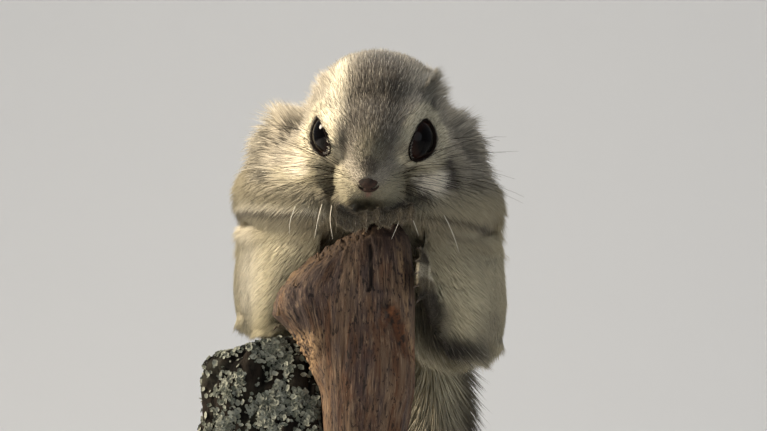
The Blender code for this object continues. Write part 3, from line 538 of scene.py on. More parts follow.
def lieOfCoat():
    x, y, z = skinAt.T
    # Over the head the hair runs back from the nose, and on the cheeks outward and down
    way = np.stack([fore, aside, above], 1) - noseTip
    way[:, 2] -= 0.45 * np.abs(way[:, 0]) * step(4, 13, np.abs(aside)) * step(3, -3, above)
    way[:, 1] *= 1.15
    headWay = unit(way @ axes)
    # Over the body it runs out from the chest, nearly level on the right flank, and down on the left one
    down = np.where(x < 0, 0.30, 0.95) * step(6, -8, z)
    bodyWay = unit(np.stack([x * 1.1, (y + 14) * 0.75, (z - 8) * 0.35 - down * 16], 1))
    lie = headWay * share["head"][:, None] + bodyWay * (share["torso"] + share["leg"] * 0.3)[:, None]
    membraneWay = unit(np.stack([x * 1.2, (y + 16) * 0.8, -24 + 0 * x], 1))
    lie += membraneWay * share["membrane"][:, None]
    lie += (
        np.array([0, 0, -1.6]) * (step(24, 30, np.abs(x)) * step(4, -4, z) * (1 - share["head"]))[:, None]
    )
    for key, field, pull in (
        ("arms", "arm", 0.15), ("legs", "leg", 1.0), ("feet", "foot", 1.0), ("hands", "hand", 1.0)
    ):
        for side, knots in limbRuns[key].items():
            lie += pull * runOf(knots) * (share[field] * (flank == side))[:, None]
    # Forearm hair leans outward and down, over the membrane's edge
    spread = (0.45 + 0.02 * np.abs(x)) * step(11, 16, np.abs(x))
    fan = np.stack([flank * spread, 0.1 + 0 * x, -0.9 + 0 * x], 1)
    lie += fan * share["arm"][:, None]
    earWay = np.stack([-0.55 + 0 * x, aside * 0.02, 0.8 + 0 * x], 1) @ axes
    lie += earWay * share["ear"][:, None]
    lie += (tailHeading + tailSide * (tailOff * 1.1)[:, None]) * (share["tail"] * 1.6)[:, None]
    lie -= skinOut * np.sum(lie * skinOut, axis=1, keepdims=True)
    return unit(averaged(skin.data, unit(lie), 6))


hairLie = lieOfCoat()


def hairSizes():
    # Length in mm, lift in degrees and width in mm of a tuft at each point
    head = share["head"]
    rim = step(24, 29, np.abs(skinAt[:, 0])) * step(-2, -8, skinAt[:, 2])
    length = 7.4 * share["torso"] + 7.0 * share["leg"] + 5.4 * share["arm"]
    length += 4.8 * share["membrane"] * (1 - 0.5 * rim)
    length += 1.8 * share["hand"] + 2.2 * share["foot"] + 1.3 * share["ear"] + 12.0 * share["tail"]
    cheek = step(11, 19, np.abs(aside)) * step(6, -4, above)
    onHead = 0.9 + 1.8 * step(1.5, 13, noseAway) + 0.5 * step(22, 32, noseAway) + 3.0 * cheek
    onHead *= 0.42 + 0.58 * step(0.05, 0.6, eyeAway)
    fluff = step(9.5, 13.5, np.abs(aside)) * step(4, -2, fore) * step(-7, -1, above)
    neck = share["torso"] * step(21, 25, skinAt[:, 2]) * step(8, 13, np.abs(skinAt[:, 0]))
    length += (onHead + 3.6 * fluff) * head + 1.6 * neck
    # Longer hair in the band of painted shadow by the right foot
    bandAway = (skinAt - np.array([19, -2, -31.5])) / np.array([12, 16, 6])
    band = 1 - step(0.35, 1.0, np.linalg.norm(bandAway, axis=1))
    length += 1.2 * band
    under = share["arm"] * step(15, 12, np.abs(skinAt[:, 0])) * step(1, -2, skinAt[:, 2])
    length += 2.2 * under
    lift = (
        13 * share["torso"] + 13 * share["leg"] + 11 * share["membrane"] + 12 * share["arm"]
        + 15 * share["hand"]
    )
    lift += 15 * share["foot"] + 9 * share["ear"] + (13 + 2 * step(10, 24, noseAway)) * head
    lift += 30 * fluff * head + 26 * neck + 8 * band + (9 + 22 * step(0.5, 1.0, tailEdge)) * share["tail"]
    width = (
        0.25 * (share["torso"] + share["leg"]) + 0.21 * (share["membrane"] + share["arm"])
        + 0.36 * share["tail"]
    )
    width += (
        0.16 * (share["hand"] + share["foot"] + share["ear"]) + (0.14 + 0.06 * step(4, 20, noseAway)) * head
    )
    ticked = head * (0.25 + 0.75 * step(-4, 3, above) + 0.65 * cheek) + 0.5 * share["torso"]
    # The band of painted shadow by the right foot is also more ticked
    ticked += 0.3 * (share["arm"] + share["tail"]) + 0.8 * band
    ticked += 0.18 * (share["membrane"] + share["leg"]) + 0.8 * share["hand"] + 0.4 * share["foot"]
    return length, lift, width, np.clip(ticked, 0, 1)


hairLength, hairLift, hairWidth, hairTicked = hairSizes()


here = {}


def measureAt(points):
    # The markings are measured at these points: the roots for the skin, the tips for the hair
    here["at"] = points
    here["fore"], here["aside"], here["above"] = ((points - skullAt) @ axes.T).T
    here["eye"] = eyeRange(points)


def spot(f, s, u, rf, rs, ru, both=False, soft=0.35):
    # A soft patch on the head, 1 in its middle and 0 past its radii
    best = np.zeros(len(here["at"]))
    for side in (1, -1) if both else (1,):
        d = (
            ((here["fore"] - f) / rf) ** 2 + ((here["aside"] - s * side) / rs) ** 2
            + ((here["above"] - u) / ru) ** 2
        )
        best = np.maximum(best, 1 - step(soft, 1.0, np.sqrt(d)))
    return best


def patch(x, y, z, rx, ry, rz):
    p = here["at"]
    d = ((p[:, 0] - x) / rx) ** 2 + ((p[:, 1] - y) / ry) ** 2 + ((p[:, 2] - z) / rz) ** 2
    return 1 - step(0.35, 1.0, np.sqrt(d))


def along(points, width, softness=0.5):
    # Closeness to a line through points of the picture's frame
    path = curveThrough(points, 24)
    gap = np.min(np.linalg.norm(here["at"][:, None, :] - path[None], axis=2), axis=1)
    return 1 - step(width * softness, width, gap)


# Tones of the coat as judged: the fur of the back is ticked grey, the belly and cheeks cream.
# Some tones stand in for light: 'ridge' is laid on mostly as painted highlight, 'deep' and 'rim' as painted
# shade, and 'arc' in part as painted shade
coatTones = {
    "crown": "#8f8778", "forehead": "#534b40", "bridge": "#8d866f", "muzzle": "#a69e84", "ring": "#c5bca2",
    "cheek": "#aaa28a", "white": "#efe7d6", "arc": "#2f2720", "brow": "#4b4237", "temple": "#9a9282",
    "ridge": "#e9e0c8", "back": "#8b8474", "side": "#a1987f", "belly": "#cbc2a5", "arm": "#8d826a",
    "hand": "#7a6e59", "foot": "#8a7f69", "rim": "#2e231a", "ear": "#a8937e", "earDark": "#2b231e",
    "pink": "#b98d7c", "tailMid": "#857e6b", "tailEdge": "#413c33", "lid": "#0e0a08", "deep": "#1f1a16",
}


def paint(colour, tone, weight):
    return colour + (np.array(linear(coatTones[tone])) - colour) * np.clip(weight, 0, 1)[:, None]


def markings(points):
    measureAt(points)
    n = len(points)
    x, y, z = points.T
    fore, above = here["fore"], here["above"]
    colour = np.tile(np.array(linear(coatTones["back"])), (n, 1))
    wave = grain(points, 9.0, 2)
    # Body: grey back, paler sides, cream below and in front of the flanks; the cream is laid on more strongly
    # on the lit left side, as painted light
    lower = step(10, -6, z - 0.25 * (y - 10) + 3 * wave)
    colour = paint(colour, "side", lower)
    colour = paint(
        colour, "belly", step(2, -16, z - 0.35 * (y - 8) + 4 * wave) * np.where(x < 0, 0.95, 0.6)
    )
    # Painted light: the membranes' cream is stronger on the lit left side
    colour = paint(
        colour, "belly", share["membrane"] * step(-0.5, 0.6, wave + 0.7) * np.where(x < 0, 0.85, 0.4)
    )
    colour = paint(colour, "side", share["arm"] * 0.9)
    # The lower inner arms under the chin go darker: partly their own browner fur and partly painted shade
    colour = paint(colour, "arm", share["arm"] * step(0.5, -2.5, z) * step(22, 12, np.abs(x)) * 0.7)
    # Head, from the crown forward to the nose
    head = share["head"]
    colour = paint(colour, "temple", head)
    colour = paint(colour, "crown", head * spot(-2, 0, 10, 18, 11.5, 9))
    # A darker stripe down the middle of the forehead: partly the fur's own tone and partly painted shade
    brow = [onSkull(*q) for q in ((-4.5, 1.2, 12.4), (3.6, 0.4, 10.6), (10, 0, 9.8), (15, 0, 8.0))]
    colour = paint(colour, "forehead", head * along(brow, 8.4, 0.42) * 0.92)
    colour = paint(colour, "bridge", head * spot(15, 0, 6, 7.5, 5.6, 6) * 0.8)
    colour = paint(colour, "muzzle", head * step(-0.4, -3.2, above - 0.1 * fore) * step(9, 13, fore))
    colour = paint(colour, "muzzle", head * spot(19.5, 6.5, -1.5, 5, 4.2, 5, True) * 0.9)
    colour = paint(colour, "white", head * spot(18.6, 3.8, -6.0, 6, 5, 4.4, True) * 0.85)
    colour = paint(
        colour, "pink",
        head * along([onSkull(*q) for q in ((23.2, 0, -0.4), (22.4, 0, -3.0), (21.0, 0, -5.8))], 0.9)
    )
    colour = paint(colour, "cheek", head * spot(9, 15, -6, 9, 8, 8, True) * 0.8)
    colour = paint(colour, "ring", head * (1 - step(0.38, 0.66, here["eye"])) * step(-6, 1, above + 3.5))
    colour = paint(colour, "ring", head * (1 - step(0.36, 0.58, here["eye"])) * 0.8)
    # A painted highlight: the pale 'ridge' tone along the crown's right side, where the light grazes the head
    ridge = [
        onSkull(*q) for q in ((-7.5, -8.6, 9.6), (-1.5, -9.4, 10.2), (4.6, -9.3, 9.6), (9.5, -9.0, 8.6))
    ]
    colour = paint(colour, "ridge", head * along(ridge, 3.6, 0.2) * 0.85)
    colour = paint(colour, "white", head * spot(11.6, -17.4, -4.6, 4.6, 5.5, 4.0, False, 0.6) * 0.7)
    colour = paint(colour, "white", head * spot(14.3, 14.6, -6.0, 5.4, 6.0, 4.4, False, 0.6))
    colour = paint(colour, "brow", head * spot(14, 7.2, 5.6, 3.6, 2.0, 2.6, True) * 0.5)
    colour = paint(colour, "brow", head * spot(19.6, 0, 4.4, 3.4, 3.2, 2.8) * 0.85)
    # Dark arcs behind and under the white cheek patches, and painted shade in the folds beside the muzzle
    left = [
        onSkull(*q)
        for q in (
            (11.0, 15.6, -1.4), (10.6, 18.4, -4.4), (12.6, 18.8, -8.0), (15.6, 16.0, -9.6),
            (18.4, 12.6, -8.6)
        )
    ]
    right = [
        onSkull(*q)
        for q in ((9.4, -19.0, -5.0), (12.0, -18.6, -9.0), (14.4, -15.6, -9.8), (16, -12.4, -9.6))
    ]
    colour = paint(colour, "arc", along(left, 2.3, 0.6))
    colour = paint(colour, "arc", along(right, 1.5) * 0.35)
    # Painted shade in the fold beside the muzzle
    fold = [onSkull(*q) for q in ((12.7, 15.0, -2.3), (14.2, 12.4, -4.8), (15.1, 9.5, -7.5))]
    colour = paint(colour, "arc", along(fold, 0.9) * 0.6)
    # Ears: pale fluff on the lit one as a painted highlight, a dark edge on the other; painted shade in the
    # hollow below the left one
    colour = paint(colour, "temple", share["ear"])
    # Painted highlight: the lit ear's fluff in the pale 'ridge' tone
    colour = paint(colour, "ridge", share["ear"] * (x < 0) * 0.7)
    blade = [(12.4, -6.0, 31.2), (14.2, -4.0, 32.8), (16.2, -2.0, 34.2)]
    colour = paint(colour, "earDark", (share["ear"] + share["head"]) * along(blade, 1.5, 0.6) * (x > 0))
    # Painted shade in the hollow below the left ear
    colour = paint(colour, "earDark", head * spot(0.4, 13.8, 6.4, 2.4, 1.9, 2.4) * 0.9)
    colour = paint(colour, "lid", head * (1 - step(0.02, 0.07, here["eye"])))
    # Limbs; the membrane's edge and pleats drawn as brown lines of painted shade, with a pale line of painted
    # highlight along the left edge; and a band of painted shadow by the right foot
    # The hands take a darker brown: partly their own fur and partly painted shade under the chin
    colour = paint(colour, "hand", share["hand"])
    colour = paint(colour, "foot", share["foot"])
    colour = paint(colour, "side", share["leg"] * step(-34, -22, z) * 0.5)
    # The throat, the chest and the inner sides of the arms lie in brown shade
    colour = paint(colour, "deep", patch(0, -18, 1.0, 14, 12, 5.5) * (1 - share["head"]) * 0.8)
    shown = step(4, -2, y)
    # Painted shade and highlight: brown crease lines along the membrane's edge and pleats, and a pale lit
    # line along the left edge
    for tone, width, knots in (
        ("ridge", 1.3, ((-31, 1.6), (-22, 0.6), (-15, 0.0), (-10, -0.8))),
        ("rim", 0.9, ((-33, 0.4), (-22, -0.8), (-15, -1.4), (-10, -2.0))),
        ("rim", 1.0, ((11, -2.0), (21, -2.6), (28, -4.2), (33, -6.2))),
        ("rim", 0.7, ((13, -6.2), (19, -6.5), (25, -7.4), (31, -9.6))),
    ):
        knots = np.array(knots)
        gap = np.abs(z - np.interp(x, knots[:, 0], knots[:, 1], left=99, right=99))
        strength = (1 - step(0.4 * width, width, gap)) * shown * (1 - share["head"])
        colour = paint(colour, tone, strength * (0.85 if width != 0.7 else 0.5))
    # Painted shade in the gap between the stub and the right haunch, and a band of painted shadow over the
    # tail under the body
    inner = patch(11.0, -9, -27.5, 5.5, 16, 14)
    colour = paint(colour, "deep", inner * (1 - share["foot"]) * 0.92)
    colour = paint(colour, "deep", patch(19, -2, -31.5, 11.5, 16, 4.6))
    # The right foot: a pale band across the toes, with painted shade above and below it
    colour = paint(
        colour, "ridge", share["foot"] * (x > 0) * step(-16.2, -15.2, z) * step(-12.0, -13.2, z) * 0.6
    )
    colour = paint(colour, "deep", share["foot"] * (x > 0) * step(-13, -12, z) * 0.6)
    # Painted shade over the right haunch, and painted light on the lower left flank
    colour = paint(colour, "deep", patch(28, 0, -28, 7, 16, 9) * 0.35)
    colour = paint(colour, "white", patch(-31, -4, -14, 8, 16, 18) * 0.5)
    colour = paint(colour, "deep", share["foot"] * (x > 0) * step(-17, -19.5, z) * 0.8)
    # Tail: cream down the middle, greyer to the edges and the tip
    colour = paint(colour, "tailMid", share["tail"])
    colour = paint(colour, "belly", share["tail"] * patch(17, 30, -40, 10, 20, 7) * 0.7)
    colour = paint(colour, "tailEdge", share["tail"] * step(0.35, 0.9, np.abs(tailOff)) * 0.8)
    # Each tuft differs a little from the next, most on the long hair of the cheeks
    streak = 0.10 + 0.16 * share["head"] * step(9, 15, np.abs(here["aside"]))
    blotch = 1 + 0.08 * wave + 0.07 * grain(points, 3.2, 5) + streak * grain(points, 0.9, 9)
    return np.clip(colour * blotch[:, None], 0.003, 0.95)


coatColour = markings(skinAt)
tipColour = markings(skinAt + hairLie * hairLength[:, None] * 0.7)
report("markings")


def sinkSkin():
    # The skin goes in by the coat's depth, but by no more than a share of the flesh behind it
    global skinAt, skinOut
    lookup = BVHTree.FromPolygons([tuple(p) for p in skinAt], [f.vertices[:] for f in skin.data.polygons])
    thick = np.full(len(skinAt), 30.0)
    for i, (p, n) in enumerate(zip(skinAt, skinOut)):
        hit = lookup.ray_cast(tuple(p - n * 0.08), tuple(-n))
        if hit[0] is not None:
            thick[i] = hit[3]
    depth = hairLength * np.sin(np.radians(hairLift)) + 0.012 * hairLength**2 + 0.15
    depth *= step(0.0, 0.35, eyeAway) * (1 - share["tail"]) * (1 - 0.8 * share["ear"])
    depth = np.minimum(depth, thick * 0.28)
    depth = averaged(skin.data, depth, 8)
    skinAt = skinAt - skinOut * depth[:, None]
    setPoints(skin.data, placed(skinAt))
    skinAt = skinAt + 0.5 * (averaged(skin.data, skinAt, 1) - skinAt)
    setPoints(skin.data, placed(skinAt))
    skinOut = normalsOf(skin.data)
    return depth


coatDepth = sinkSkin()
report(f"coat depth up to {coatDepth.max():.1f} mm")


# Coat: tufts set over the skin by Geometry Nodes, each a bunch of hairs drawn as one bent, tapering strand.
def openEnd(node, name):
    return next(s for s in node.outputs if s.name == name and s.enabled)


def named(tree, name, kind):
    return openEnd(
        addNode(tree, "GeometryNodeInputNamedAttribute", {"data_type": kind}, {"Name": name}), "Attribute"
    )


def maths(tree, operation, *values):
    return addNode(tree, "ShaderNodeMath", {"operation": operation}, dict(enumerate(values))).outputs[0]


def vectors(tree, operation, *values):
    node = addNode(tree, "ShaderNodeVectorMath", {"operation": operation}, dict(enumerate(values)))
    return openEnd(node, "Value") if operation == "DOT_PRODUCT" else openEnd(node, "Vector")


def scaled(tree, vector, factor):
    return addNode(
        tree, "ShaderNodeVectorMath", {"operation": "SCALE"}, {0: vector, "Scale": factor}
    ).outputs[0]


def chance(tree, low, high, seed, offset):
    seed = maths(tree, "ADD", seed, offset)
    return addNode(
        tree, "FunctionNodeRandomValue", {"data_type": "FLOAT"}, {"Min": low, "Max": high, "Seed": seed}
    )


def tuftTree():
    tree = bpy.data.node_groups.new("coat_tufts", "GeometryNodeTree")
    face = tree.interface
    face.new_socket(name="Geometry", in_out="INPUT", socket_type="NodeSocketGeometry")
    sockets = {}
    for name, kind, value in (
        ("Density", "NodeSocketFloat", 1e6), ("Segments", "NodeSocketInt", 2),
        ("Bend", "NodeSocketFloat", 4.0), ("Sway", "NodeSocketFloat", 1.0),
        ("Slim", "NodeSocketFloat", 0.03), ("Fullness", "NodeSocketFloat", 0.3),
        ("Stray", "NodeSocketFloat", 0.1), ("Shortest", "NodeSocketFloat", 0.7),
        ("Thickness", "NodeSocketFloat", 1.0), ("Seed", "NodeSocketInt", 1),
        ("Patch", "NodeSocketFloat", 0.003),
        ("Material", "NodeSocketMaterial", None),
    ):
        made = face.new_socket(name=name, in_out="INPUT", socket_type=kind)
        if value is not None:
            made.default_value = value
        sockets[name] = made.identifier
    face.new_socket(name="Geometry", in_out="OUTPUT", socket_type="NodeSocketGeometry")
    give = tree.nodes.new("NodeGroupInput").outputs

    # Roots, with what the skin knows about its hair at each of them
    spread = addNode(
        tree, "GeometryNodeDistributePointsOnFaces", {"distribute_method": "RANDOM"},
        {"Mesh": give["Geometry"], "Seed": give["Seed"],
         "Density": maths(tree, "MULTIPLY", give["Density"], named(tree, "hairThick", "FLOAT"))},
    )
    normal = openEnd(spread, "Normal")
    lift = maths(tree, "ADD", named(tree, "hairLift", "FLOAT"), chance(tree, -0.09, 0.09, give["Seed"], 1))
    stray = addNode(
        tree, "FunctionNodeRandomValue", {"data_type": "FLOAT_VECTOR"},
        {"Min": (-1, -1, -1), "Max": (1, 1, 1), "Seed": maths(tree, "ADD", give["Seed"], 2)},
    )
    way = vectors(
        tree, "ADD",
        scaled(tree, named(tree, "hairLie", "FLOAT_VECTOR"), maths(tree, "COSINE", lift)),
        scaled(tree, normal, maths(tree, "SINE", lift)),
    )
    way = vectors(
        tree, "NORMALIZE", vectors(tree, "ADD", way, scaled(tree, stray.outputs[0], give["Stray"]))
    )
    turn = addNode(
        tree, "FunctionNodeAxesToRotation", {"primary_axis": "Z", "secondary_axis": "X"},
        {0: way, 1: scaled(tree, normal, -1.0)},
    )
    wide = maths(
        tree, "MULTIPLY", named(tree, "hairWidth", "FLOAT"),
        chance(tree, 0.65, 1.35, give["Seed"], 3).outputs[1]
    )
    wide = maths(tree, "MULTIPLY", wide, give["Thickness"])
    length = maths(
        tree, "MULTIPLY", named(tree, "hairLength", "FLOAT"),
        chance(tree, give["Shortest"], 1.15, give["Seed"], 4).outputs[1],
    )
    size = addNode(tree, "ShaderNodeCombineXYZ", None, {0: length, 1: wide, 2: length})
    roots = addNode(
        tree, "GeometryNodeSetPosition", None,
        {"Geometry": spread.outputs["Points"], "Offset": scaled(tree, normal, -0.00012)},
    )
    roots = addNode(
        tree, "GeometryNodeStoreNamedAttribute", {"data_type": "FLOAT", "domain": "POINT"},
        {"Geometry": roots, "Name": "tuftShade",
         "Value": chance(tree, 0.0, 1.0, give["Seed"], 5).outputs[1]},
    )

    # Three strands with different bends, along z, one wide and one long
    strands = []
    for bend, sway in ((0.5, -1.0), (1.0, 0.25), (1.6, 1.0)):
        cone = addNode(
            tree, "GeometryNodeMeshCone", {"fill_type": "NGON"},
            {"Vertices": 3, "Side Segments": give["Segments"], "Fill Segments": 1, "Radius Top": 0.0,
             "Radius Bottom": 0.5, "Depth": 1.0},
        )
        mapped = addNode(
            tree, "GeometryNodeStoreNamedAttribute", {"data_type": "FLOAT2", "domain": "CORNER"},
            {"Geometry": cone.outputs["Mesh"], "Name": "tuftMap", "Value": openEnd(cone, "UV Map")},
        )
        part = addNode(tree, "ShaderNodeSeparateXYZ", None, {0: addNode(tree, "GeometryNodeInputPosition")})
        rise = part.outputs[2]
        mapped = addNode(
            tree, "GeometryNodeStoreNamedAttribute", {"data_type": "FLOAT", "domain": "POINT"},
            {"Geometry": mapped, "Name": "tuftAlong", "Value": rise},
        )
        curve = maths(tree, "MULTIPLY", rise, rise)
        # The middle of a strand is as wide as its root, so that it ends like the tip of a brush
        full = maths(tree, "ADD", 1.0, maths(tree, "MULTIPLY", rise, give["Fullness"]))
        slim = maths(tree, "MULTIPLY", maths(tree, "MULTIPLY", part.outputs[0], full), give["Slim"])
        broad = maths(tree, "MULTIPLY", part.outputs[1], full)
        moved = addNode(
            tree, "ShaderNodeCombineXYZ", None,
            {0: maths(
                tree, "ADD", slim,
                maths(tree, "MULTIPLY", curve, maths(tree, "MULTIPLY", give["Bend"], bend))
            ),
             1: maths(
                 tree, "ADD", broad,
                 maths(tree, "MULTIPLY", curve, maths(tree, "MULTIPLY", give["Sway"], sway))
             ),
             2: rise},
        )
        bent = addNode(tree, "GeometryNodeSetPosition", None, {"Geometry": mapped, "Position": moved})
        strands.append(addNode(tree, "GeometryNodeGeometryToInstance", None, {0: bent}))
    choice = tree.nodes.new("GeometryNodeJoinGeometry")
    for strand in strands:
        tree.links.new(strand.outputs[0], choice.inputs[0])
    pick = addNode(
        tree, "FunctionNodeRandomValue", {"data_type": "INT"},
        {"Min": 0, "Max": 2, "Seed": maths(tree, "ADD", give["Seed"], 6)},
    )
    tufts = addNode(
        tree, "GeometryNodeInstanceOnPoints", None,
        {"Points": roots, "Instance": choice, "Pick Instance": True, "Instance Index": openEnd(pick, "Value"),
         "Rotation": turn, "Scale": size},
    )
    solid = addNode(tree, "GeometryNodeRealizeInstances", None, {0: tufts})
    # Each tuft is a small patch at its root's place on the skin's unwrap
    where = vectors(
        tree, "ADD", named(tree, "skinMap", "FLOAT_VECTOR"),
        scaled(tree, named(tree, "tuftMap", "FLOAT_VECTOR"), give["Patch"]),
    )
    solid = addNode(
        tree, "GeometryNodeStoreNamedAttribute", {"data_type": "FLOAT2", "domain": "CORNER"},
        {"Geometry": solid, "Name": "OFBake", "Value": where},
    )
    for name in ("skinMap", "tuftMap", "hairLie", "hairLift", "hairWidth", "hairLength", "hairThick"):
        solid = addNode(tree, "GeometryNodeRemoveAttribute", None, {"Geometry": solid, "Name": name})
    solid = addNode(
        tree, "GeometryNodeSetMaterial", None, {"Geometry": solid, "Material": give["Material"]}
    )
    tree.links.new(solid.outputs[0], tree.nodes.new("NodeGroupOutput").inputs[0])
    return tree, sockets


def newMaterial(name):
    made = bpy.data.materials.new(name)
    made.use_nodes = True
    tree = made.node_tree
    return made, tree, tree.nodes["Principled BSDF"]


def finish(tree, shader, colour, rough, specular=0.5, height=None, relief=(0.5, 0.0003)):
    # A material's colour and gloss, and its fine relief as strength and depth in metres
    tree.links.new(colour, shader.inputs["Base Color"])
    shader.inputs["Roughness"].default_value = rough
    shader.inputs["Specular IOR Level"].default_value = specular
    if height is not None:
        strength, deep = relief
        bump = addNode(
            tree, "ShaderNodeBump", None, {"Strength": strength, "Distance": deep, "Height": height}
        )
        tree.links.new(bump.outputs[0], shader.inputs["Normal"])


def blended(tree, factor, a, b, mode="MIX"):
    node = addNode(
        tree, "ShaderNodeMix", {"data_type": "RGBA", "blend_type": mode}, {"Factor": factor, "A": a, "B": b}
    )
    return openEnd(node, "Result")


def softNoise(tree, scale, detail=2.0, where=None, rough=0.5):
    inputs = {"Scale": scale, "Detail": detail, "Roughness": rough}
    if where is not None:
        inputs["Vector"] = where
    return addNode(tree, "ShaderNodeTexNoise", None, inputs).outputs[0]


def ramp(tree, factor, low, high, a=0.0, b=1.0):
    return addNode(
        tree, "ShaderNodeMapRange", {"interpolation_type": "SMOOTHSTEP"},
        {"Value": factor, "From Min": low, "From Max": high, "To Min": a, "To Max": b},
    ).outputs[0]


# Squirrel fur: fine keratin hairs, matt to silky. Slate at the root, paler and warmer at the tip, and
# ticked dark.
def furMaterial():
    made, tree, shader = newMaterial("ticked_squirrel_fur")
    tone = addNode(tree, "ShaderNodeAttribute", {"attribute_name": "coatTone"}).outputs["Color"]
    base = addNode(tree, "ShaderNodeAttribute", {"attribute_name": "coatRoot"}).outputs["Color"]
    run = addNode(tree, "ShaderNodeAttribute", {"attribute_name": "tuftAlong"}).outputs["Fac"]
    shade = addNode(tree, "ShaderNodeAttribute", {"attribute_name": "tuftShade"}).outputs["Fac"]
    body = blended(tree, ramp(tree, run, 0.0, 0.75), base, tone)
    # Ticking, strongest on the crown: one tuft in six is a darker guard hair, and one in eight has a pale tip
    ticked = addNode(tree, "ShaderNodeAttribute", {"attribute_name": "ticked"}).outputs["Fac"]
    dark = maths(tree, "MULTIPLY", ramp(tree, shade, 0.30, 0.06), ramp(tree, run, 0.15, 0.6))
    body = blended(
        tree, maths(tree, "MULTIPLY", dark, maths(tree, "MULTIPLY", ticked, 0.85)), body, toned("#2c261e")
    )
    pale = maths(tree, "MULTIPLY", ramp(tree, shade, 0.78, 0.98), ramp(tree, run, 0.45, 0.9))
    body = blended(
        tree, maths(tree, "MULTIPLY", pale, maths(tree, "MULTIPLY", ticked, 0.6)), body, toned("#f1e9d6")
    )
    light = maths(tree, "ADD", 0.84, maths(tree, "MULTIPLY", shade, 0.3))
    body = blended(
        tree, 1.0, body, addNode(tree, "ShaderNodeCombineColor", None, {0: light, 1: light, 2: light}),
        "MULTIPLY"
    )
    finish(tree, shader, body, 0.62, 0.35)
    shader.inputs["IOR"].default_value = 1.55
    return made


# Underfur and bare skin: the same markings, darker, with a fine nap of about half a millimetre
def skinMaterial():
    made, tree, shader = newMaterial("underfur_and_skin")
    tone = addNode(tree, "ShaderNodeAttribute", {"attribute_name": "coatRoot"}).outputs["Color"]
    place = addNode(tree, "ShaderNodeTexCoord").outputs["Object"]
    nap = softNoise(tree, 1900.0, 3.0, place)
    dim = ramp(tree, nap, 0.25, 0.75, 0.62, 1.08)
    body = blended(
        tree, 1.0, tone, addNode(tree, "ShaderNodeCombineColor", None, {0: dim, 1: dim, 2: dim}), "MULTIPLY"
    )
    finish(tree, shader, body, 0.8, 0.25, nap, (0.5, 0.0003))
    return made


def rootTones():
    # The hair's own root: slate on the back, near the tip's tone on white places and on the tail
    slate = np.array(linear("#4b463f"))
    bright = coatColour.mean(axis=1, keepdims=True)
    mixed = slate * 0.45 + coatColour * 0.30 + coatColour * 0.35 * np.clip(bright * 1.3, 0, 1)
    tail = share["tail"][:, None]
    cream = np.array(linear("#a89d84"))
    return np.clip(mixed * (1 - tail) + cream * tail, 0.003, 0.95)


coatRoot = rootTones()
coatPlan = {
    # Tufts, their segments, bend and stray as shares of their length, and the share of the shortest
    "coatFace": {"count": 43000, "segments": 1, "bend": 0.0, "stray": 0.13, "shortest": 0.5, "slim": 0.06},
    "coatCrown": {
        "count": 45500, "segments": 1, "bend": 0.0, "stray": 0.12, "shortest": 0.5, "slim": 0.045
    },
    "coatCheeks": {
        "count": 45500, "segments": 1, "bend": 0.0, "stray": 0.12, "shortest": 0.5, "slim": 0.035
    },
    "coatChest": {
        "count": 15000, "segments": 2, "bend": 0.2, "stray": 0.10, "shortest": 0.5, "slim": 0.028
    },
    "coatBack": {"count": 15000, "segments": 2, "bend": 0.2, "stray": 0.10, "shortest": 0.55, "slim": 0.03},
    "coatArms": {"count": 38000, "segments": 1, "bend": 0.0, "stray": 0.11, "shortest": 0.5, "slim": 0.03},
    "coatMembranes": {
        "count": 45500, "segments": 1, "bend": 0.0, "stray": 0.10, "shortest": 0.5, "slim": 0.03
    },
    "coatHaunches": {
        "count": 10500, "segments": 2, "bend": 0.2, "stray": 0.10, "shortest": 0.5, "slim": 0.03
    },
    "coatPaws": {"count": 21000, "segments": 1, "bend": 0.0, "stray": 0.12, "shortest": 0.5, "slim": 0.06},
    "coatTail": {"count": 15000, "segments": 2, "bend": 0.1, "stray": 0.09, "shortest": 0.5, "slim": 0.024},
}


def coatRegions():
    # Each face of the skin goes to one piece of the coat
    corners = np.empty(len(skin.data.loops), int)
    skin.data.loops.foreach_get("vertex_index", corners)
    starts = np.empty(len(skin.data.polygons), int)
    totals = np.empty(len(skin.data.polygons), int)
    skin.data.polygons.foreach_get("loop_start", starts)
    skin.data.polygons.foreach_get("loop_total", totals)
    faces = [tuple(corners[s : s + t]) for s, t in zip(starts, totals)]
    first = corners[starts]
    keys = ["head", "torso", "ear", "arm", "hand", "leg", "foot", "membrane", "tail"]
    most = np.argmax(np.stack([share[k] for k in keys], 1), axis=1)[first]
    best = np.array(keys)[most]
    near = noseAway[first] < 13.5
    region = np.full(len(faces), "coatBack", dtype=object)
    region[(best == "torso") & (skinAt[first, 1] < 12)] = "coatChest"
    region[(best == "head") & (above[first] > -1.5)] = "coatCrown"
    region[(best == "head") & (above[first] <= -1.5)] = "coatCheeks"
    region[(best == "head") & near] = "coatFace"
    for key, name in (
        ("arm", "coatArms"), ("membrane", "coatMembranes"), ("leg", "coatHaunches"), ("tail", "coatTail")
    ):
        region[best == key] = name
    region[(best == "hand") | (best == "foot") | (best == "ear")] = "coatPaws"
    return faces, region


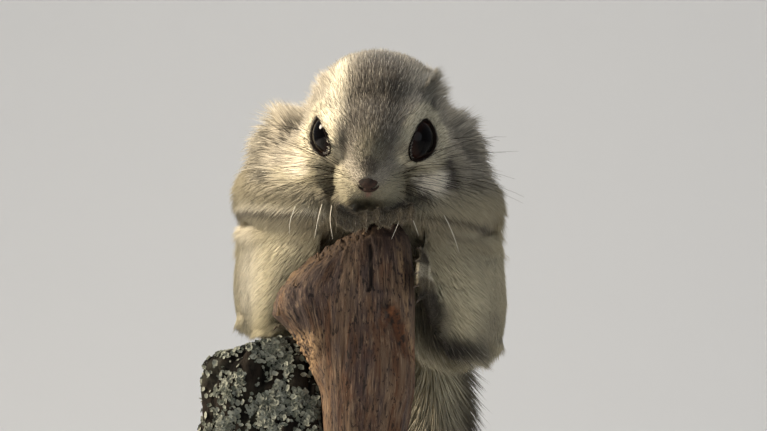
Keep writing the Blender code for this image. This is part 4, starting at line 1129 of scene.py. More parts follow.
def growCoat(name, faces, tree, sockets, material, seed):
    plan = coatPlan[name]
    used = np.unique(np.concatenate([np.array(f) for f in faces]))
    fresh = np.full(len(skinAt), -1)
    fresh[used] = np.arange(len(used))
    mesh = newMesh(name, placed(skinAt[used]), [tuple(fresh[list(f)]) for f in faces])
    piece = newObject(name, mesh)
    storeNumbers(mesh, "hairLie", hairLie[used])
    storeNumbers(mesh, "hairLift", np.radians(hairLift[used]))
    storeNumbers(mesh, "hairLength", hairLength[used] * 0.001)
    storeNumbers(mesh, "hairWidth", hairWidth[used] * 0.001)
    storeNumbers(mesh, "hairThick", hairThick[used])
    storeNumbers(mesh, "ticked", hairTicked[used])
    storeNumbers(mesh, "coatTone", np.column_stack([tipColour[used], np.ones(len(used))]))
    storeNumbers(mesh, "coatRoot", np.column_stack([coatRoot[used], np.ones(len(used))]))
    unwrap(piece)
    areas = np.empty(len(mesh.polygons))
    mesh.polygons.foreach_get("area", areas)
    thick = hairThick[used][[f.vertices[0] for f in mesh.polygons]]
    grow = piece.modifiers.new("grow", "NODES")
    grow.node_group = tree
    values = {
        "Density": plan["count"] / float((areas * thick).sum()), "Segments": plan["segments"],
        "Bend": plan["bend"], "Sway": plan["bend"] * 3.0, "Slim": plan["slim"], "Fullness": 0.35,
        "Stray": plan["stray"],
        "Shortest": plan["shortest"], "Seed": seed, "Thickness": 1.0, "Patch": 0.003, "Material": material,
    }
    for key, value in values.items():
        grow[sockets[key]] = value
    settled(piece)
    smoothShade(piece)
    return piece


def unwrap(piece):
    # An unwrap of the skin's own shape, kept a patch's breadth inside the square
    mesh = piece.data
    mesh.uv_layers.new(name="skinMap")
    for other in bpy.context.selected_objects:
        other.select_set(False)
    bpy.context.view_layer.objects.active = piece
    piece.select_set(True)
    bpy.ops.object.mode_set(mode="EDIT")
    bpy.ops.mesh.select_all(action="SELECT")
    bpy.ops.uv.smart_project(angle_limit=math.radians(66), island_margin=0.006)
    bpy.ops.object.mode_set(mode="OBJECT")
    flat = np.empty(len(mesh.loops) * 2)
    mesh.uv_layers["skinMap"].data.foreach_get("uv", flat)
    mesh.uv_layers["skinMap"].data.foreach_set("uv", flat * 0.99 + 0.003)


# Bare places: round the eyes' openings and the nose pad
hairThick = step(-0.03, 0.03, eyeAway) * step(1.2, 2.6, noseAway)


def makeCoat():
    tree, sockets = tuftTree()
    fur = furMaterial()
    faces, region = coatRegions()
    for seed, name in enumerate(coatPlan):
        chosen = [faces[i] for i in np.nonzero(region == name)[0]]
        piece = growCoat(name, chosen, tree, sockets, fur, seed + 11)
        rideRoot(piece, "torso_surface")
        report(f"{name}: {len(chosen)} faces of skin, {len(piece.data.polygons)} faces of hair")


def dressSkin():
    storeNumbers(skin.data, "coatRoot", np.column_stack([coatRoot, np.ones(len(coatRoot))]))
    skin.data.materials.clear()
    skin.data.materials.append(skinMaterial())
    rideRoot(skin, "torso_surface", *skinPlan["parts"], *skinPlan["tails"])


dressSkin()
makeCoat()


# Eyes: large and dark, a clear cornea over a nearly black iris with a red-brown edge.
eyeLook = {"middle": "#040303", "edge": "#1c0d08", "white": "#0d0806", "gloss": 0.05}


def eyeMaterial():
    made, tree, shader = newMaterial("wet_cornea_over_dark_iris")
    turn = addNode(tree, "ShaderNodeAttribute", {"attribute_name": "offAxis"}).outputs["Fac"]
    colour = blended(tree, ramp(tree, turn, 26.0, 48.0), toned(eyeLook["middle"]), toned(eyeLook["edge"]))
    colour = blended(tree, ramp(tree, turn, 52.0, 60.0), colour, toned(eyeLook["white"]))
    finish(tree, shader, colour, eyeLook["gloss"], 0.1)
    shader.inputs["IOR"].default_value = 1.376
    return made


def makeEyes():
    glass = eyeMaterial()
    for side, name, node in ((1, "eyeballLeft", "eye_left"), (-1, "eyeballRight", "eye_right")):
        centre, axis, longWay, across = eyeFrame(side)
        ball = bmesh.new()
        bmesh.ops.create_icosphere(ball, subdivisions=5, radius=1.0)
        mesh = bpy.data.meshes.new(name)
        ball.to_mesh(mesh)
        ball.free()
        round_ = pointsOf(mesh)
        turn = np.degrees(np.arccos(np.clip(round_[:, 2], -1, 1)))
        reach = eyePlan["radius"] * (0.985 + 0.03 * step(62, 20, turn))
        setPoints(mesh, placed(centre + (round_ * reach[:, None]) @ np.array([longWay, across, axis])))
        storeNumbers(mesh, "offAxis", turn)
        piece = newObject(name, mesh)
        smoothShade(piece)
        mesh.materials.append(glass)
        rideRoot(piece, node + "_surface", node)


# Lids: a bare dark rim with thickness, along the almond of each opening.
lidPlan = {
    # Points across the rim: share of the opening, and mm from the eye's centre
    "section": (
        (0.93, 5.85), (0.93, 6.2), (0.96, 6.36), (1.02, 6.5), (1.09, 6.62), (1.14, 6.4), (1.03, 5.75)
    ),
    "steps": 64, "dark": "#070504", "brown": "#17100c",
}


def lidOutline(a, side):
    # A drop: pointed behind, full in front, flatter towards the nose
    c, s = math.cos(a), math.sin(a)
    x = c * eyePlan["tall"][side]
    y = (
        s * float(sideShare(side, np.array(s))) * abs(s) ** (0.55 - 0.5 * float(step(-0.3, 0.7, c)))
        * (1 + 0.12 * c)
    )
    y += float(midLine(side, np.array(x)))
    return x * math.tan(math.radians(eyePlan["long"])), y * math.tan(math.radians(eyePlan["wide"]))


def lidMiddle(side):
    ends = np.array([lidOutline(a, side) for a in np.linspace(0, 2 * math.pi, 32, endpoint=False)])
    return ends.mean(axis=0)


def makeLids():
    made, tree, shader = newMaterial("bare_dark_eyelid_skin")
    place = addNode(tree, "ShaderNodeTexCoord").outputs["Object"]
    crease = softNoise(tree, 2600.0, 2.0, place)
    colour = blended(tree, crease, toned(lidPlan["dark"]), toned(lidPlan["brown"]))
    finish(tree, shader, colour, 0.8, 0.04, crease, (0.4, 0.0002))
    for side, name in ((1, "lidLeft"), (-1, "lidRight")):
        centre, axis, longWay, across = eyeFrame(side)
        rings = []
        for j in range(lidPlan["steps"]):
            a = 2 * math.pi * j / lidPlan["steps"]
            x, y = lidOutline(a, side)
            xm, ym = lidMiddle(side)
            rings.append([
                centre + r * unit(axis + (xm + q * (x - xm)) * longWay + (ym + q * (y - ym)) * across)
                for q, r in lidPlan["section"]
            ])
        mesh = newMesh(name, *[placed(v) if k == 0 else v for k, v in enumerate(loft(rings, True))])
        facedOut(mesh)
        piece = newObject(name, mesh)
        smooth = piece.modifiers.new("smooth", "SUBSURF")
        smooth.levels = smooth.render_levels = 1
        settled(piece)
        smoothShade(piece)
        piece.data.materials.append(made)
        rideRoot(piece, "head_surface")


makeEyes()
makeLids()
report("eyes and lids")
skinLookup = BVHTree.FromPolygons([tuple(p) for p in skinAt], [f.vertices[:] for f in skin.data.polygons])


def onSkin(start, way):
    # The first place where a ray from outside meets the skin
    hit = skinLookup.ray_cast(tuple(start), tuple(unit(way)))
    return (np.array(hit[0]), np.array(hit[1])) if hit[0] is not None else (None, None)


# Nose: the bare, finely pebbled pad with its two nostrils.
nosePlan = {"grid": 0.16, "skin": "#3a2920", "shade": "#1a110c", "pebble": 0.22, "size": 0.88}


def makeNose():
    points, normals, faces = merged("nose")
    points = points.mean(axis=0) + (points - points.mean(axis=0)) * nosePlan["size"]
    piece = newObject("nosePad", newMesh("nosePad", placed(points), faces))
    melt = piece.modifiers.new("melt", "REMESH")
    melt.mode, melt.voxel_size = "VOXEL", nosePlan["grid"] * 0.001
    soft = piece.modifiers.new("soft", "SMOOTH")
    soft.factor, soft.iterations = 0.5, 5
    settled(piece)
    at = inPicture(pointsOf(piece.data))
    at = at + normalsOf(piece.data) * (0.05 * grain(at, nosePlan["pebble"] * 2, 4) - 0.04)[:, None]
    setPoints(piece.data, placed(at))
    smoothShade(piece)
    made, tree, shader = newMaterial("moist_nose_leather")
    place = addNode(tree, "ShaderNodeTexCoord").outputs["Object"]
    cells = addNode(
        tree, "ShaderNodeTexVoronoi", {"feature": "DISTANCE_TO_EDGE"}, {"Vector": place, "Scale": 3200.0}
    )
    edge = ramp(tree, cells.outputs["Distance"], 0.0, 0.12)
    shade = softNoise(tree, 420.0, 2.0, place)
    colour = blended(tree, ramp(tree, shade, 0.35, 0.65), toned(nosePlan["shade"]), toned(nosePlan["skin"]))
    colour = blended(tree, edge, toned(nosePlan["shade"]), colour)
    finish(tree, shader, colour, 0.8, 0.25, edge, (0.6, 0.0001))
    shader.inputs["Subsurface Weight"].default_value = 0.1
    shader.inputs["Subsurface Scale"].default_value = 0.001
    piece.data.materials.append(made)
    rideRoot(piece, "nose_surface", "nose")


# Whiskers: stiff tapering bristles in rows on each side of the muzzle, dark, with a few pale ones that
# droop.
whiskerPlan = {
    "rows": 6, "columns": 7, "root": 0.06, "longest": 25.0, "shortest": 7.0,
    "dark": "#0f0b08", "pale": "#f4efe2",
    "drooping": (
        ((-10.8, -16.5, 1.4), (-11.6, -21, -2.0), (-12.4, -22, -6.6)),
        ((-8.6, -17.5, 1.0), (-8.9, -22, -2.6), (-8.3, -23, -6.9)),
        ((6.3, -18.5, 1.2), (6.6, -23, -2.6), (4.9, -24, -7.0)),
        ((16.8, -15.6, -1.0), (18.6, -18, -5.0), (20.2, -17, -9.6)),
        ((-16.9, -15.6, 1.0), (-18.0, -17.5, -2.6), (-18.2, -17.2, -5.4)),
        ((8.9, -17.6, 1.0), (9.8, -21.5, -2.6), (11.0, -21, -6.0)),
    ),
}


def makeWhiskers():
    draw = np.random.default_rng(21)
    dark, pale = [], []
    for side in (1, -1):
        for row in range(whiskerPlan["rows"]):
            for column in range(whiskerPlan["columns"]):
                t, c = row / (whiskerPlan["rows"] - 1), column / (whiskerPlan["columns"] - 1)
                f = 20.6 - 6.2 * c + 0.5 * draw.standard_normal()
                u = 0.6 - 5.4 * t + 0.4 * draw.standard_normal()
                root, out = onSkin(onSkull(f, 22 * side, u), -side * axes[1])
                if root is None:
                    continue
                length = (
                    whiskerPlan["shortest"] + (whiskerPlan["longest"] - whiskerPlan["shortest"]) * c ** 0.8
                )
                length *= draw.uniform(0.7, 1.1)
                way = axes[1] * side * 1.0 + axes[0] * (0.35 - 0.75 * c) + axes[2] * (0.55 - 0.95 * t)
                way = unit(way + 0.12 * draw.standard_normal(3))
                sag = unit(np.array([0, 0.15, -1.0])) * draw.uniform(0.12, 0.35)
                steps = np.linspace(0, 1, 9)[:, None]
                path = root - out * 0.3 + length * (way * steps + sag * steps**2)
                radii = whiskerPlan["root"] * (1 - 0.8 * steps[:, 0]) * (0.7 + 0.5 * c)
                dark.append(tapered(path, radii, 4))
    # A few over each eye and on each cheek
    for f, s, u, a, b, c in (
        (10.5, 5.6, 9.4, 0.2, 0.5, 1.0), (8.5, 6.4, 10.0, 0.0, 0.6, 1.0),
        (4.0, 17.5, -3.5, -0.2, 1.0, 0.1), (3.0, 18.0, -5.0, -0.3, 1.0, -0.3),
    ):
        for side in (1, -1):
            start = onSkull(f, s * side * 1.5, u * 1.5 if u > 0 else u)
            root, out = onSkin(start, onSkull(f, 0, 0) - start)
            if root is not None:
                way = unit(a * axes[0] + b * side * axes[1] + c * axes[2] + 0.4 * out)
                steps = np.linspace(0, 1, 9)[:, None]
                path = root - out * 0.3 + 13.0 * (way * steps + np.array([0, 0.1, -0.25]) * steps**2)
                dark.append(tapered(path, 0.075 * (1 - 0.8 * steps[:, 0]), 4))
    for knots in whiskerPlan["drooping"]:
        path = curveThrough(knots, 10)
        pale.append(tapered(path, 0.10 * (1 - 0.75 * np.linspace(0, 1, 10)), 4))
    for name, strands, tone, word in (("whiskersDark", dark, "dark", "dark_whisker_bristle"),
                                      ("whiskersPale", pale, "pale", "pale_whisker_bristle")):
        points, faces = joined(strands)
        piece = newObject(name, newMesh(name, placed(points), faces))
        facedOut(piece.data)
        smoothShade(piece)
        made, tree, shader = newMaterial(word)
        place = addNode(tree, "ShaderNodeTexCoord").outputs["Object"]
        fleck = softNoise(tree, 900.0, 1.0, place)
        body = blended(
            tree, fleck, toned(whiskerPlan[tone]), toned("#241b15" if tone == "dark" else "#d8cfba")
        )
        finish(tree, shader, body, 0.75 if tone == "dark" else 0.45, 0.1 if tone == "dark" else 0.5)
        piece.data.materials.append(made)
        rideRoot(piece, "head_surface")


# Claws: small hooked horn, dark brown, streaked paler.
clawPlan = {
    "hands": {1: ((6.2, -19.0, -0.2), ((9.6, 0.6), (7.2, -0.3), (4.6, -0.4), (2.2, 0.4))),
              -1: ((-4.6, -18.8, -0.4), ((-7.4, 0.4), (-5.2, -0.4), (-3.0, -0.6), (-0.6, 0.2)))},
    "feet": {
        1: ((12.8, -15, -17), (
            (11.6, -26, -9.5), (11.2, -27.6, -12.2), (11, -28, -14.8), (11, -27.2, -17.4), (11.4, -24, -20.2),
        )),
        -1: ((-17.5, -2, -25.4), (
            (-21, -7.4, -26), (-18.6, -8.6, -26), (-16.2, -8.8, -26), (-13.8, -8.4, -25.8),
            (-11, -5.6, -25.6),
        )),
    },
    "radius": 0.32, "horn": "#241a14", "tip": "#54463a",
}


def clawHook(start, tip, hump):
    path = curveThrough([start, (np.asarray(start) + tip) / 2 + hump, tip], 8)
    return tapered(path, clawPlan["radius"] * np.array([0.9, 1.0, 0.92, 0.8, 0.66, 0.5, 0.32, 0.1]), 8)


def makeClaws():
    hooks = []
    for side, (palm, spread) in clawPlan["hands"].items():
        for x, rise in spread:
            end = np.array([x, palm[1] - 6.6, palm[2] - 2.4 + rise])
            start, tip = end + np.array([0, 0.7, 0.5]), end + np.array([0.0, -0.5, -1.5])
            hooks.append(clawHook(start, tip, np.array([0, -0.3, 0.2])))
    for side, (front, toes) in clawPlan["feet"].items():
        for toe in toes:
            toe = np.array(toe, float)
            way = unit(toe - np.array(front))
            tip = toe + way * 1.8 + np.array([-1.0 if side == 1 else 0, 0, -0.8])
            hooks.append(clawHook(toe - way * 0.6, tip, np.array([0.4 if side == 1 else 0, 0, 0.4])))
    piece = newObject(
        "claws", newMesh("claws", *[placed(v) if k == 0 else v for k, v in enumerate(joined(hooks))])
    )
    facedOut(piece.data)
    smoothShade(piece)
    made, tree, shader = newMaterial("claw_horn")
    place = addNode(tree, "ShaderNodeTexCoord").outputs["Object"]
    streak = softNoise(tree, 1500.0, 2.0, place)
    body = blended(tree, streak, toned(clawPlan["horn"]), toned(clawPlan["tip"]))
    finish(tree, shader, body, 0.5)
    piece.data.materials.append(made)
    rideRoot(piece, "hand_left_surface")


makeNose()
makeWhiskers()
makeClaws()
report("nose, whiskers and claws")


# Stub: bare broken wood, its fine upright fibres weathered, speckled black, with a rotten brown scar.
stubPlan = {
    "grid": 0.45, "fibre": 0.26, "ridge": 0.35, "crack": 1.1,
    "weathered": "#5c4a3a", "wood": "#4a3120", "deep": "#110a06", "rot": "#60391f",
    "pale": "#85705a", "dusk": "#352b2a",
    "cracks": (((-0.3, -30, -8), (0.2, -30, -14), (0.0, -30, -19)),),
    "scar": (4.6, -25.0, -27.0), "knot": (3.6, -26.0, -21.4),
}


def remeshed(name, node, grid, smoothTimes=2):
    points, normals, faces = merged(node)
    piece = newObject(name, newMesh(name, placed(points), faces))
    melt = piece.modifiers.new("melt", "REMESH")
    melt.mode, melt.voxel_size = "VOXEL", grid * 0.001
    soft = piece.modifiers.new("soft", "SMOOTH")
    soft.factor, soft.iterations = 0.5, smoothTimes
    settled(piece)
    smoothShade(piece)
    return piece


def fibreFrame(at):
    # Fibres run up the stub, and lean with its left slope; fibre coordinates barely change along them
    lean = (
        0.55 * step(-10, -26, at[:, 2]) * step(-5, -19, at[:, 0])
        - 0.35 * step(-22, -8, at[:, 2]) * step(0, -12, at[:, 0])
    )
    bow = 0.8 * np.sin(at[:, 2] / 13.0 + 0.1 * at[:, 0])
    return np.stack([at[:, 0] + bow + lean * (at[:, 2] + 20), at[:, 1], at[:, 2]], 1)


def makeStub():
    piece = remeshed("stubWood", "perch_stub", stubPlan["grid"], 10)
    at, out = inPicture(pointsOf(piece.data)), normalsOf(piece.data)
    run = fibreFrame(at)
    fine = grain(run * np.array([1, 1, 0.05]), 0.9, 1)
    broad = grain(run * np.array([1, 1, 0.10]), 3.6, 2)
    chips = grain(run * np.array([1, 1, 0.35]), 1.6, 3)
    move = stubPlan["fibre"] * fine + stubPlan["ridge"] * broad + 0.22 * chips - 0.1
    split = np.zeros(len(at))
    for knots in stubPlan["cracks"]:
        path = curveThrough(knots, 16)
        x = np.interp(at[:, 2], path[::-1, 2], path[::-1, 0], left=99, right=99)
        wander = 0.8 * grain(run * np.array([0.2, 0.2, 1]), 3.0, knots[0][0])
        front = step(-0.1, -0.5, out[:, 1])
        split = np.maximum(split, front * (1 - step(0.1, 0.55, np.abs(at[:, 0] + wander - x))))
    move -= stubPlan["crack"] * split
    # Two arms of brown rot under the knot, like a steep roof
    away = at - np.array(stubPlan["scar"])
    arm = np.abs(np.abs(away[:, 0]) - 0.42 * (5.0 - away[:, 2]) * step(6.0, 4.0, away[:, 2]))
    scar = (
        (1 - step(0.9, 2.4, arm + 0.6 * np.abs(grain(at, 1.6, 6)))) * step(-9, -5, away[:, 2])
        * step(6.5, 4, away[:, 2])
    )
    scar *= step(-0.1, -0.5, out[:, 1]) * (0.25 + 0.75 * step(-1.5, 0.3, away[:, 0]))
    move -= scar * (0.45 + 0.5 * np.abs(grain(at, 1.2, 6)))
    ring = np.linalg.norm((at - np.array(stubPlan["knot"])) / np.array([1, 2.5, 1.2]), axis=1)
    move += 0.55 * np.exp(-((ring - 2.0) / 0.5) ** 2) - 0.6 * (1 - step(0.6, 1.4, ring))
    # The broken end is crumbly: short fibres of uneven length along the left slope and the top
    broken = step(-13.5, -9.5, at[:, 2] - 0.55 * (at[:, 0] + 10)) * step(-0.1, 0.5, out[:, 2])
    jag = (
        np.abs(grain(run * np.array([1, 1, 0.2]), 0.9, 8))
        + 0.5 * np.abs(grain(run * np.array([1, 1, 0.3]), 2.0, 9))
    )
    at = at + out * move[:, None]
    at[:, 2] += broken * (1.7 * jag - 1.1)
    crumbs = step(-9.5, -12.5, at[:, 0] - 0.25 * (at[:, 2] + 30)) * step(-26, -30, at[:, 2])
    at += out * (crumbs * (0.8 * np.abs(grain(at, 1.3, 12)) + 0.5 * grain(at, 0.6, 13)))[:, None]
    setPoints(piece.data, placed(at))
    facedOut(piece.data)
    # Painted shade: dark in the cracks and wherever the surface sinks in
    storeNumbers(piece.data, "split", np.clip(split + 0.5 * step(0.25, 0.6, -move), 0, 1))
    storeNumbers(piece.data, "scar", scar)
    # Painted light: the stub's left-facing side is made a little paler through the 'broken' mask
    edge = step(-0.45, -0.85, out[:, 0]) * step(2, -6, at[:, 0])
    ridge = (
        np.exp(-(((at[:, 0] - np.interp(-at[:, 2], (5, 20, 34), (6.2, 8.0, 9.6))) / 0.8) ** 2))
        * step(-3, -8, at[:, 2])
    )
    ridge *= step(-38, -33, at[:, 2]) * step(-0.1, -0.4, out[:, 1])
    storeNumbers(piece.data, "broken", np.clip(0.6 * broken + crumbs + 0.15 * edge + 0.6 * ridge, 0, 1))
    # Painted shade: the top of the stub, under the hands and chin, is darkened
    storeNumbers(piece.data, "dusk", step(-15, -7, at[:, 2] - 0.2 * at[:, 0]))
    storeNumbers(piece.data, "fibre", run * 0.001)
    piece.data.materials.append(woodMaterial())
    rideRoot(piece, "perch_stub_surface", "perch_stub")


# Dead hardwood: brown with grey-purple weathering and black specks, pale where it breaks and, as painted
# light, on its left-facing side; painted shade in the splits and hollows and over its top under the head
def woodMaterial():
    made, tree, shader = newMaterial("weathered_split_wood")
    run = addNode(tree, "ShaderNodeAttribute", {"attribute_name": "fibre"}).outputs["Vector"]
    long = addNode(tree, "ShaderNodeMapping", None, {0: run, 3: (1.0, 1.0, 0.06)})
    wide = addNode(tree, "ShaderNodeMapping", None, {0: run, 3: (1.0, 1.0, 0.22)})
    thread = softNoise(tree, 2100.0, 4.0, long, 0.7)
    band = softNoise(tree, 420.0, 4.0, long, 0.65)
    stain = softNoise(tree, 190.0, 4.0, wide, 0.65)
    specks = softNoise(
        tree, 1300.0, 3.0, addNode(tree, "ShaderNodeMapping", None, {0: run, 3: (1.0, 1.0, 0.45)}), 0.6
    )
    colour = blended(
        tree, ramp(tree, band, 0.36, 0.62), toned(stubPlan["wood"]), toned(stubPlan["weathered"])
    )
    colour = blended(
        tree, maths(tree, "MULTIPLY", ramp(tree, stain, 0.44, 0.60), 0.8), colour, toned(stubPlan["dusk"])
    )
    colour = blended(
        tree, maths(tree, "MULTIPLY", ramp(tree, thread, 0.54, 0.66), 0.5), colour, toned(stubPlan["pale"])
    )
    colour = blended(
        tree, maths(tree, "MULTIPLY", ramp(tree, thread, 0.47, 0.38), 0.75), colour, toned(stubPlan["deep"])
    )
    colour = blended(
        tree, maths(tree, "MULTIPLY", ramp(tree, specks, 0.58, 0.64), 0.8), colour, toned("#0d0806")
    )
    scar = addNode(tree, "ShaderNodeAttribute", {"attribute_name": "scar"}).outputs["Fac"]
    crumb = ramp(tree, softNoise(tree, 900.0, 3.0, run), 0.32, 0.6)
    rot = blended(tree, crumb, toned(stubPlan["deep"]), toned(stubPlan["rot"]))
    colour = blended(tree, maths(tree, "MULTIPLY", scar, 0.9), colour, rot)
    # Pale where it breaks, with painted light on the left-facing side
    broken = addNode(tree, "ShaderNodeAttribute", {"attribute_name": "broken"}).outputs["Fac"]
    colour = blended(
        tree, maths(tree, "MULTIPLY", broken, ramp(tree, specks, 0.62, 0.40)), colour, toned("#8d7355")
    )
    # Painted shade over the top of the stub
    dusk = addNode(tree, "ShaderNodeAttribute", {"attribute_name": "dusk"}).outputs["Fac"]
    colour = blended(tree, maths(tree, "MULTIPLY", dusk, 0.75), colour, toned("#22130a"))
    # Painted shade in the splits and hollows
    split = addNode(tree, "ShaderNodeAttribute", {"attribute_name": "split"}).outputs["Fac"]
    colour = blended(tree, maths(tree, "MULTIPLY", split, 0.85), colour, toned(stubPlan["deep"]))
    height = maths(tree, "ADD", thread, maths(tree, "MULTIPLY", band, 1.5))
    finish(tree, shader, colour, 0.82, 0.25, height, (0.8, 0.0004))
    return made


# Splinters: loose slivers left standing along the break.
splinterPlan = {
    "count": 60, "longest": 2.6, "shortest": 0.8, "breadth": 0.34,
    "slope": [
        (-20.5, -18, -22.5), (-15.5, -18.5, -14.2), (-10.0, -18, -9.6),
        (-5.4, -18, -6.6), (-1.5, -18, -4.4), (5.0, -18, -4.2),
    ],
}


def makeSplinters():
    draw = np.random.default_rng(8)
    slope = curveThrough(splinterPlan["slope"], 60)
    shapes = []
    for i in range(splinterPlan["count"]):
        foot = (
            slope[int(draw.integers(0, 60))]
            + np.array([draw.uniform(-0.6, 0.6), draw.uniform(-6.0, 4.0), -1.6])
        )
        size = (
            draw.uniform(splinterPlan["shortest"], splinterPlan["longest"])
            * (1.0 if foot[0] < -3 else 0.55)
        )
        lean = unit(np.array([-0.12 + 0.15 * draw.standard_normal(), -0.12, 1.0]))
        path = np.array(
            [foot + lean * size * t + np.array([0.3 * t * t, 0, 0]) for t in np.linspace(0, 1, 5)]
        )
        radii = splinterPlan["breadth"] * draw.uniform(0.5, 1.2) * np.array([1.0, 0.95, 0.75, 0.45, 0.08])
        shapes.append(tapered(path, radii, 4, (1, 0.2, 0)))
    points, faces = joined(shapes)
    piece = newObject("stubSplinters", newMesh("stubSplinters", placed(points), faces))
    facedOut(piece.data)
    storeNumbers(piece.data, "fibre", fibreFrame(points) * 0.001)
    # The splinters share the stub's painted shade at the top and its pale break tone
    for name, value in (("split", 0.0), ("scar", 0.0), ("broken", 0.5), ("dusk", 0.3)):
        storeNumbers(piece.data, name, np.full(len(points), value))
    piece.data.materials.append(bpy.data.materials["weathered_split_wood"])
    rideRoot(piece, "perch_stub_surface")


# Limb: rough bark in plates, with crusts and rosettes of grey-green lichen.
barkPlan = {
    "grid": 0.8, "plate": 6.0, "depth": 1.3, "dark": "#0c0a08", "ridge": "#221d18", "dust": "#34332b"
}


def barkMaterial():
    # Old broadleaf bark: cork ridges, near black in the furrows as painted shade, dusted green-grey by algae
    made, tree, shader = newMaterial("furrowed_tree_bark")
    place = addNode(tree, "ShaderNodeTexCoord").outputs["Object"]
    long = addNode(tree, "ShaderNodeMapping", None, {0: place, 3: (1.0, 1.0, 0.4)})
    high = addNode(tree, "ShaderNodeAttribute", {"attribute_name": "ridge"}).outputs["Fac"]
    rough = softNoise(tree, 480.0, 6.0, long, 0.7)
    colour = blended(tree, ramp(tree, rough, 0.3, 0.65), toned(barkPlan["dark"]), toned(barkPlan["ridge"]))
    # Painted shade: the furrows darkened to near black
    colour = blended(tree, ramp(tree, high, 0.55, 0.15), colour, toned(barkPlan["dark"]))
    algae = ramp(tree, softNoise(tree, 140.0, 4.0, place, 0.65), 0.5, 0.68)
    colour = blended(tree, maths(tree, "MULTIPLY", algae, 0.6), colour, toned(barkPlan["dust"]))
    finish(tree, shader, colour, 0.9, 0.08, rough, (1.0, 0.0008))
    return made


def makeLimb():
    piece = remeshed("limbBark", "perch_limb", barkPlan["grid"], 3)
    at, out = inPicture(pointsOf(piece.data)), normalsOf(piece.data)
    run = at * np.array([1, 1, 0.35])
    cells = np.array([noise.voronoi(Vector(p) / barkPlan["plate"])[0][:2] for p in run])
    furrow = step(0.0, 0.32, cells[:, 1] - cells[:, 0])
    rough = grain(run, 2.2, 3) + 0.5 * grain(at, 1.0, 4)
    side = step(0.9, 0.5, np.abs(out[:, 2]))
    move = barkPlan["depth"] * (furrow - 1.0) * side + 0.55 * rough - 0.3
    at = at + out * move[:, None]
    setPoints(piece.data, placed(at))
    facedOut(piece.data)
    storeNumbers(piece.data, "ridge", furrow)
    crust = grain(at, 8.0, 7) + 0.6 * grain(at, 2.6, 8) + 0.12
    storeNumbers(
        piece.data, "lichenHere",
        step(-0.05, 0.3, crust) * (0.25 + 0.75 * furrow) * step(-70, -58, at[:, 2]) + 0.04
    )
    piece.data.materials.append(barkMaterial())
    rideRoot(piece, "perch_limb_surface", "perch_limb")
    return piece


# Lichen: small leafy lobes, curled up at the edge, paler than the bark
lichenPlan = {
    "per": 4.4, "tilt": 0.55, "smallest": 0.24, "largest": 0.80,
    "pale": "#85877b", "green": "#4d5147", "dark": "#1e1f1b",
}


def lichenMaterial():
    made, tree, shader = newMaterial("leafy_grey_green_lichen")
    place = addNode(tree, "ShaderNodeTexCoord").outputs["Object"]
    tint = addNode(tree, "ShaderNodeAttribute", {"attribute_name": "lobeTint"}).outputs["Fac"]
    mottle = softNoise(tree, 800.0, 4.0, place, 0.65)
    colour = blended(
        tree, ramp(tree, tint, 0.1, 0.9), toned(lichenPlan["green"]), toned(lichenPlan["pale"])
    )
    colour = blended(tree, ramp(tree, mottle, 0.5, 0.28), colour, toned(lichenPlan["dark"]))
    finish(tree, shader, colour, 0.92, 0.5, mottle, (0.6, 0.0003))
    return made


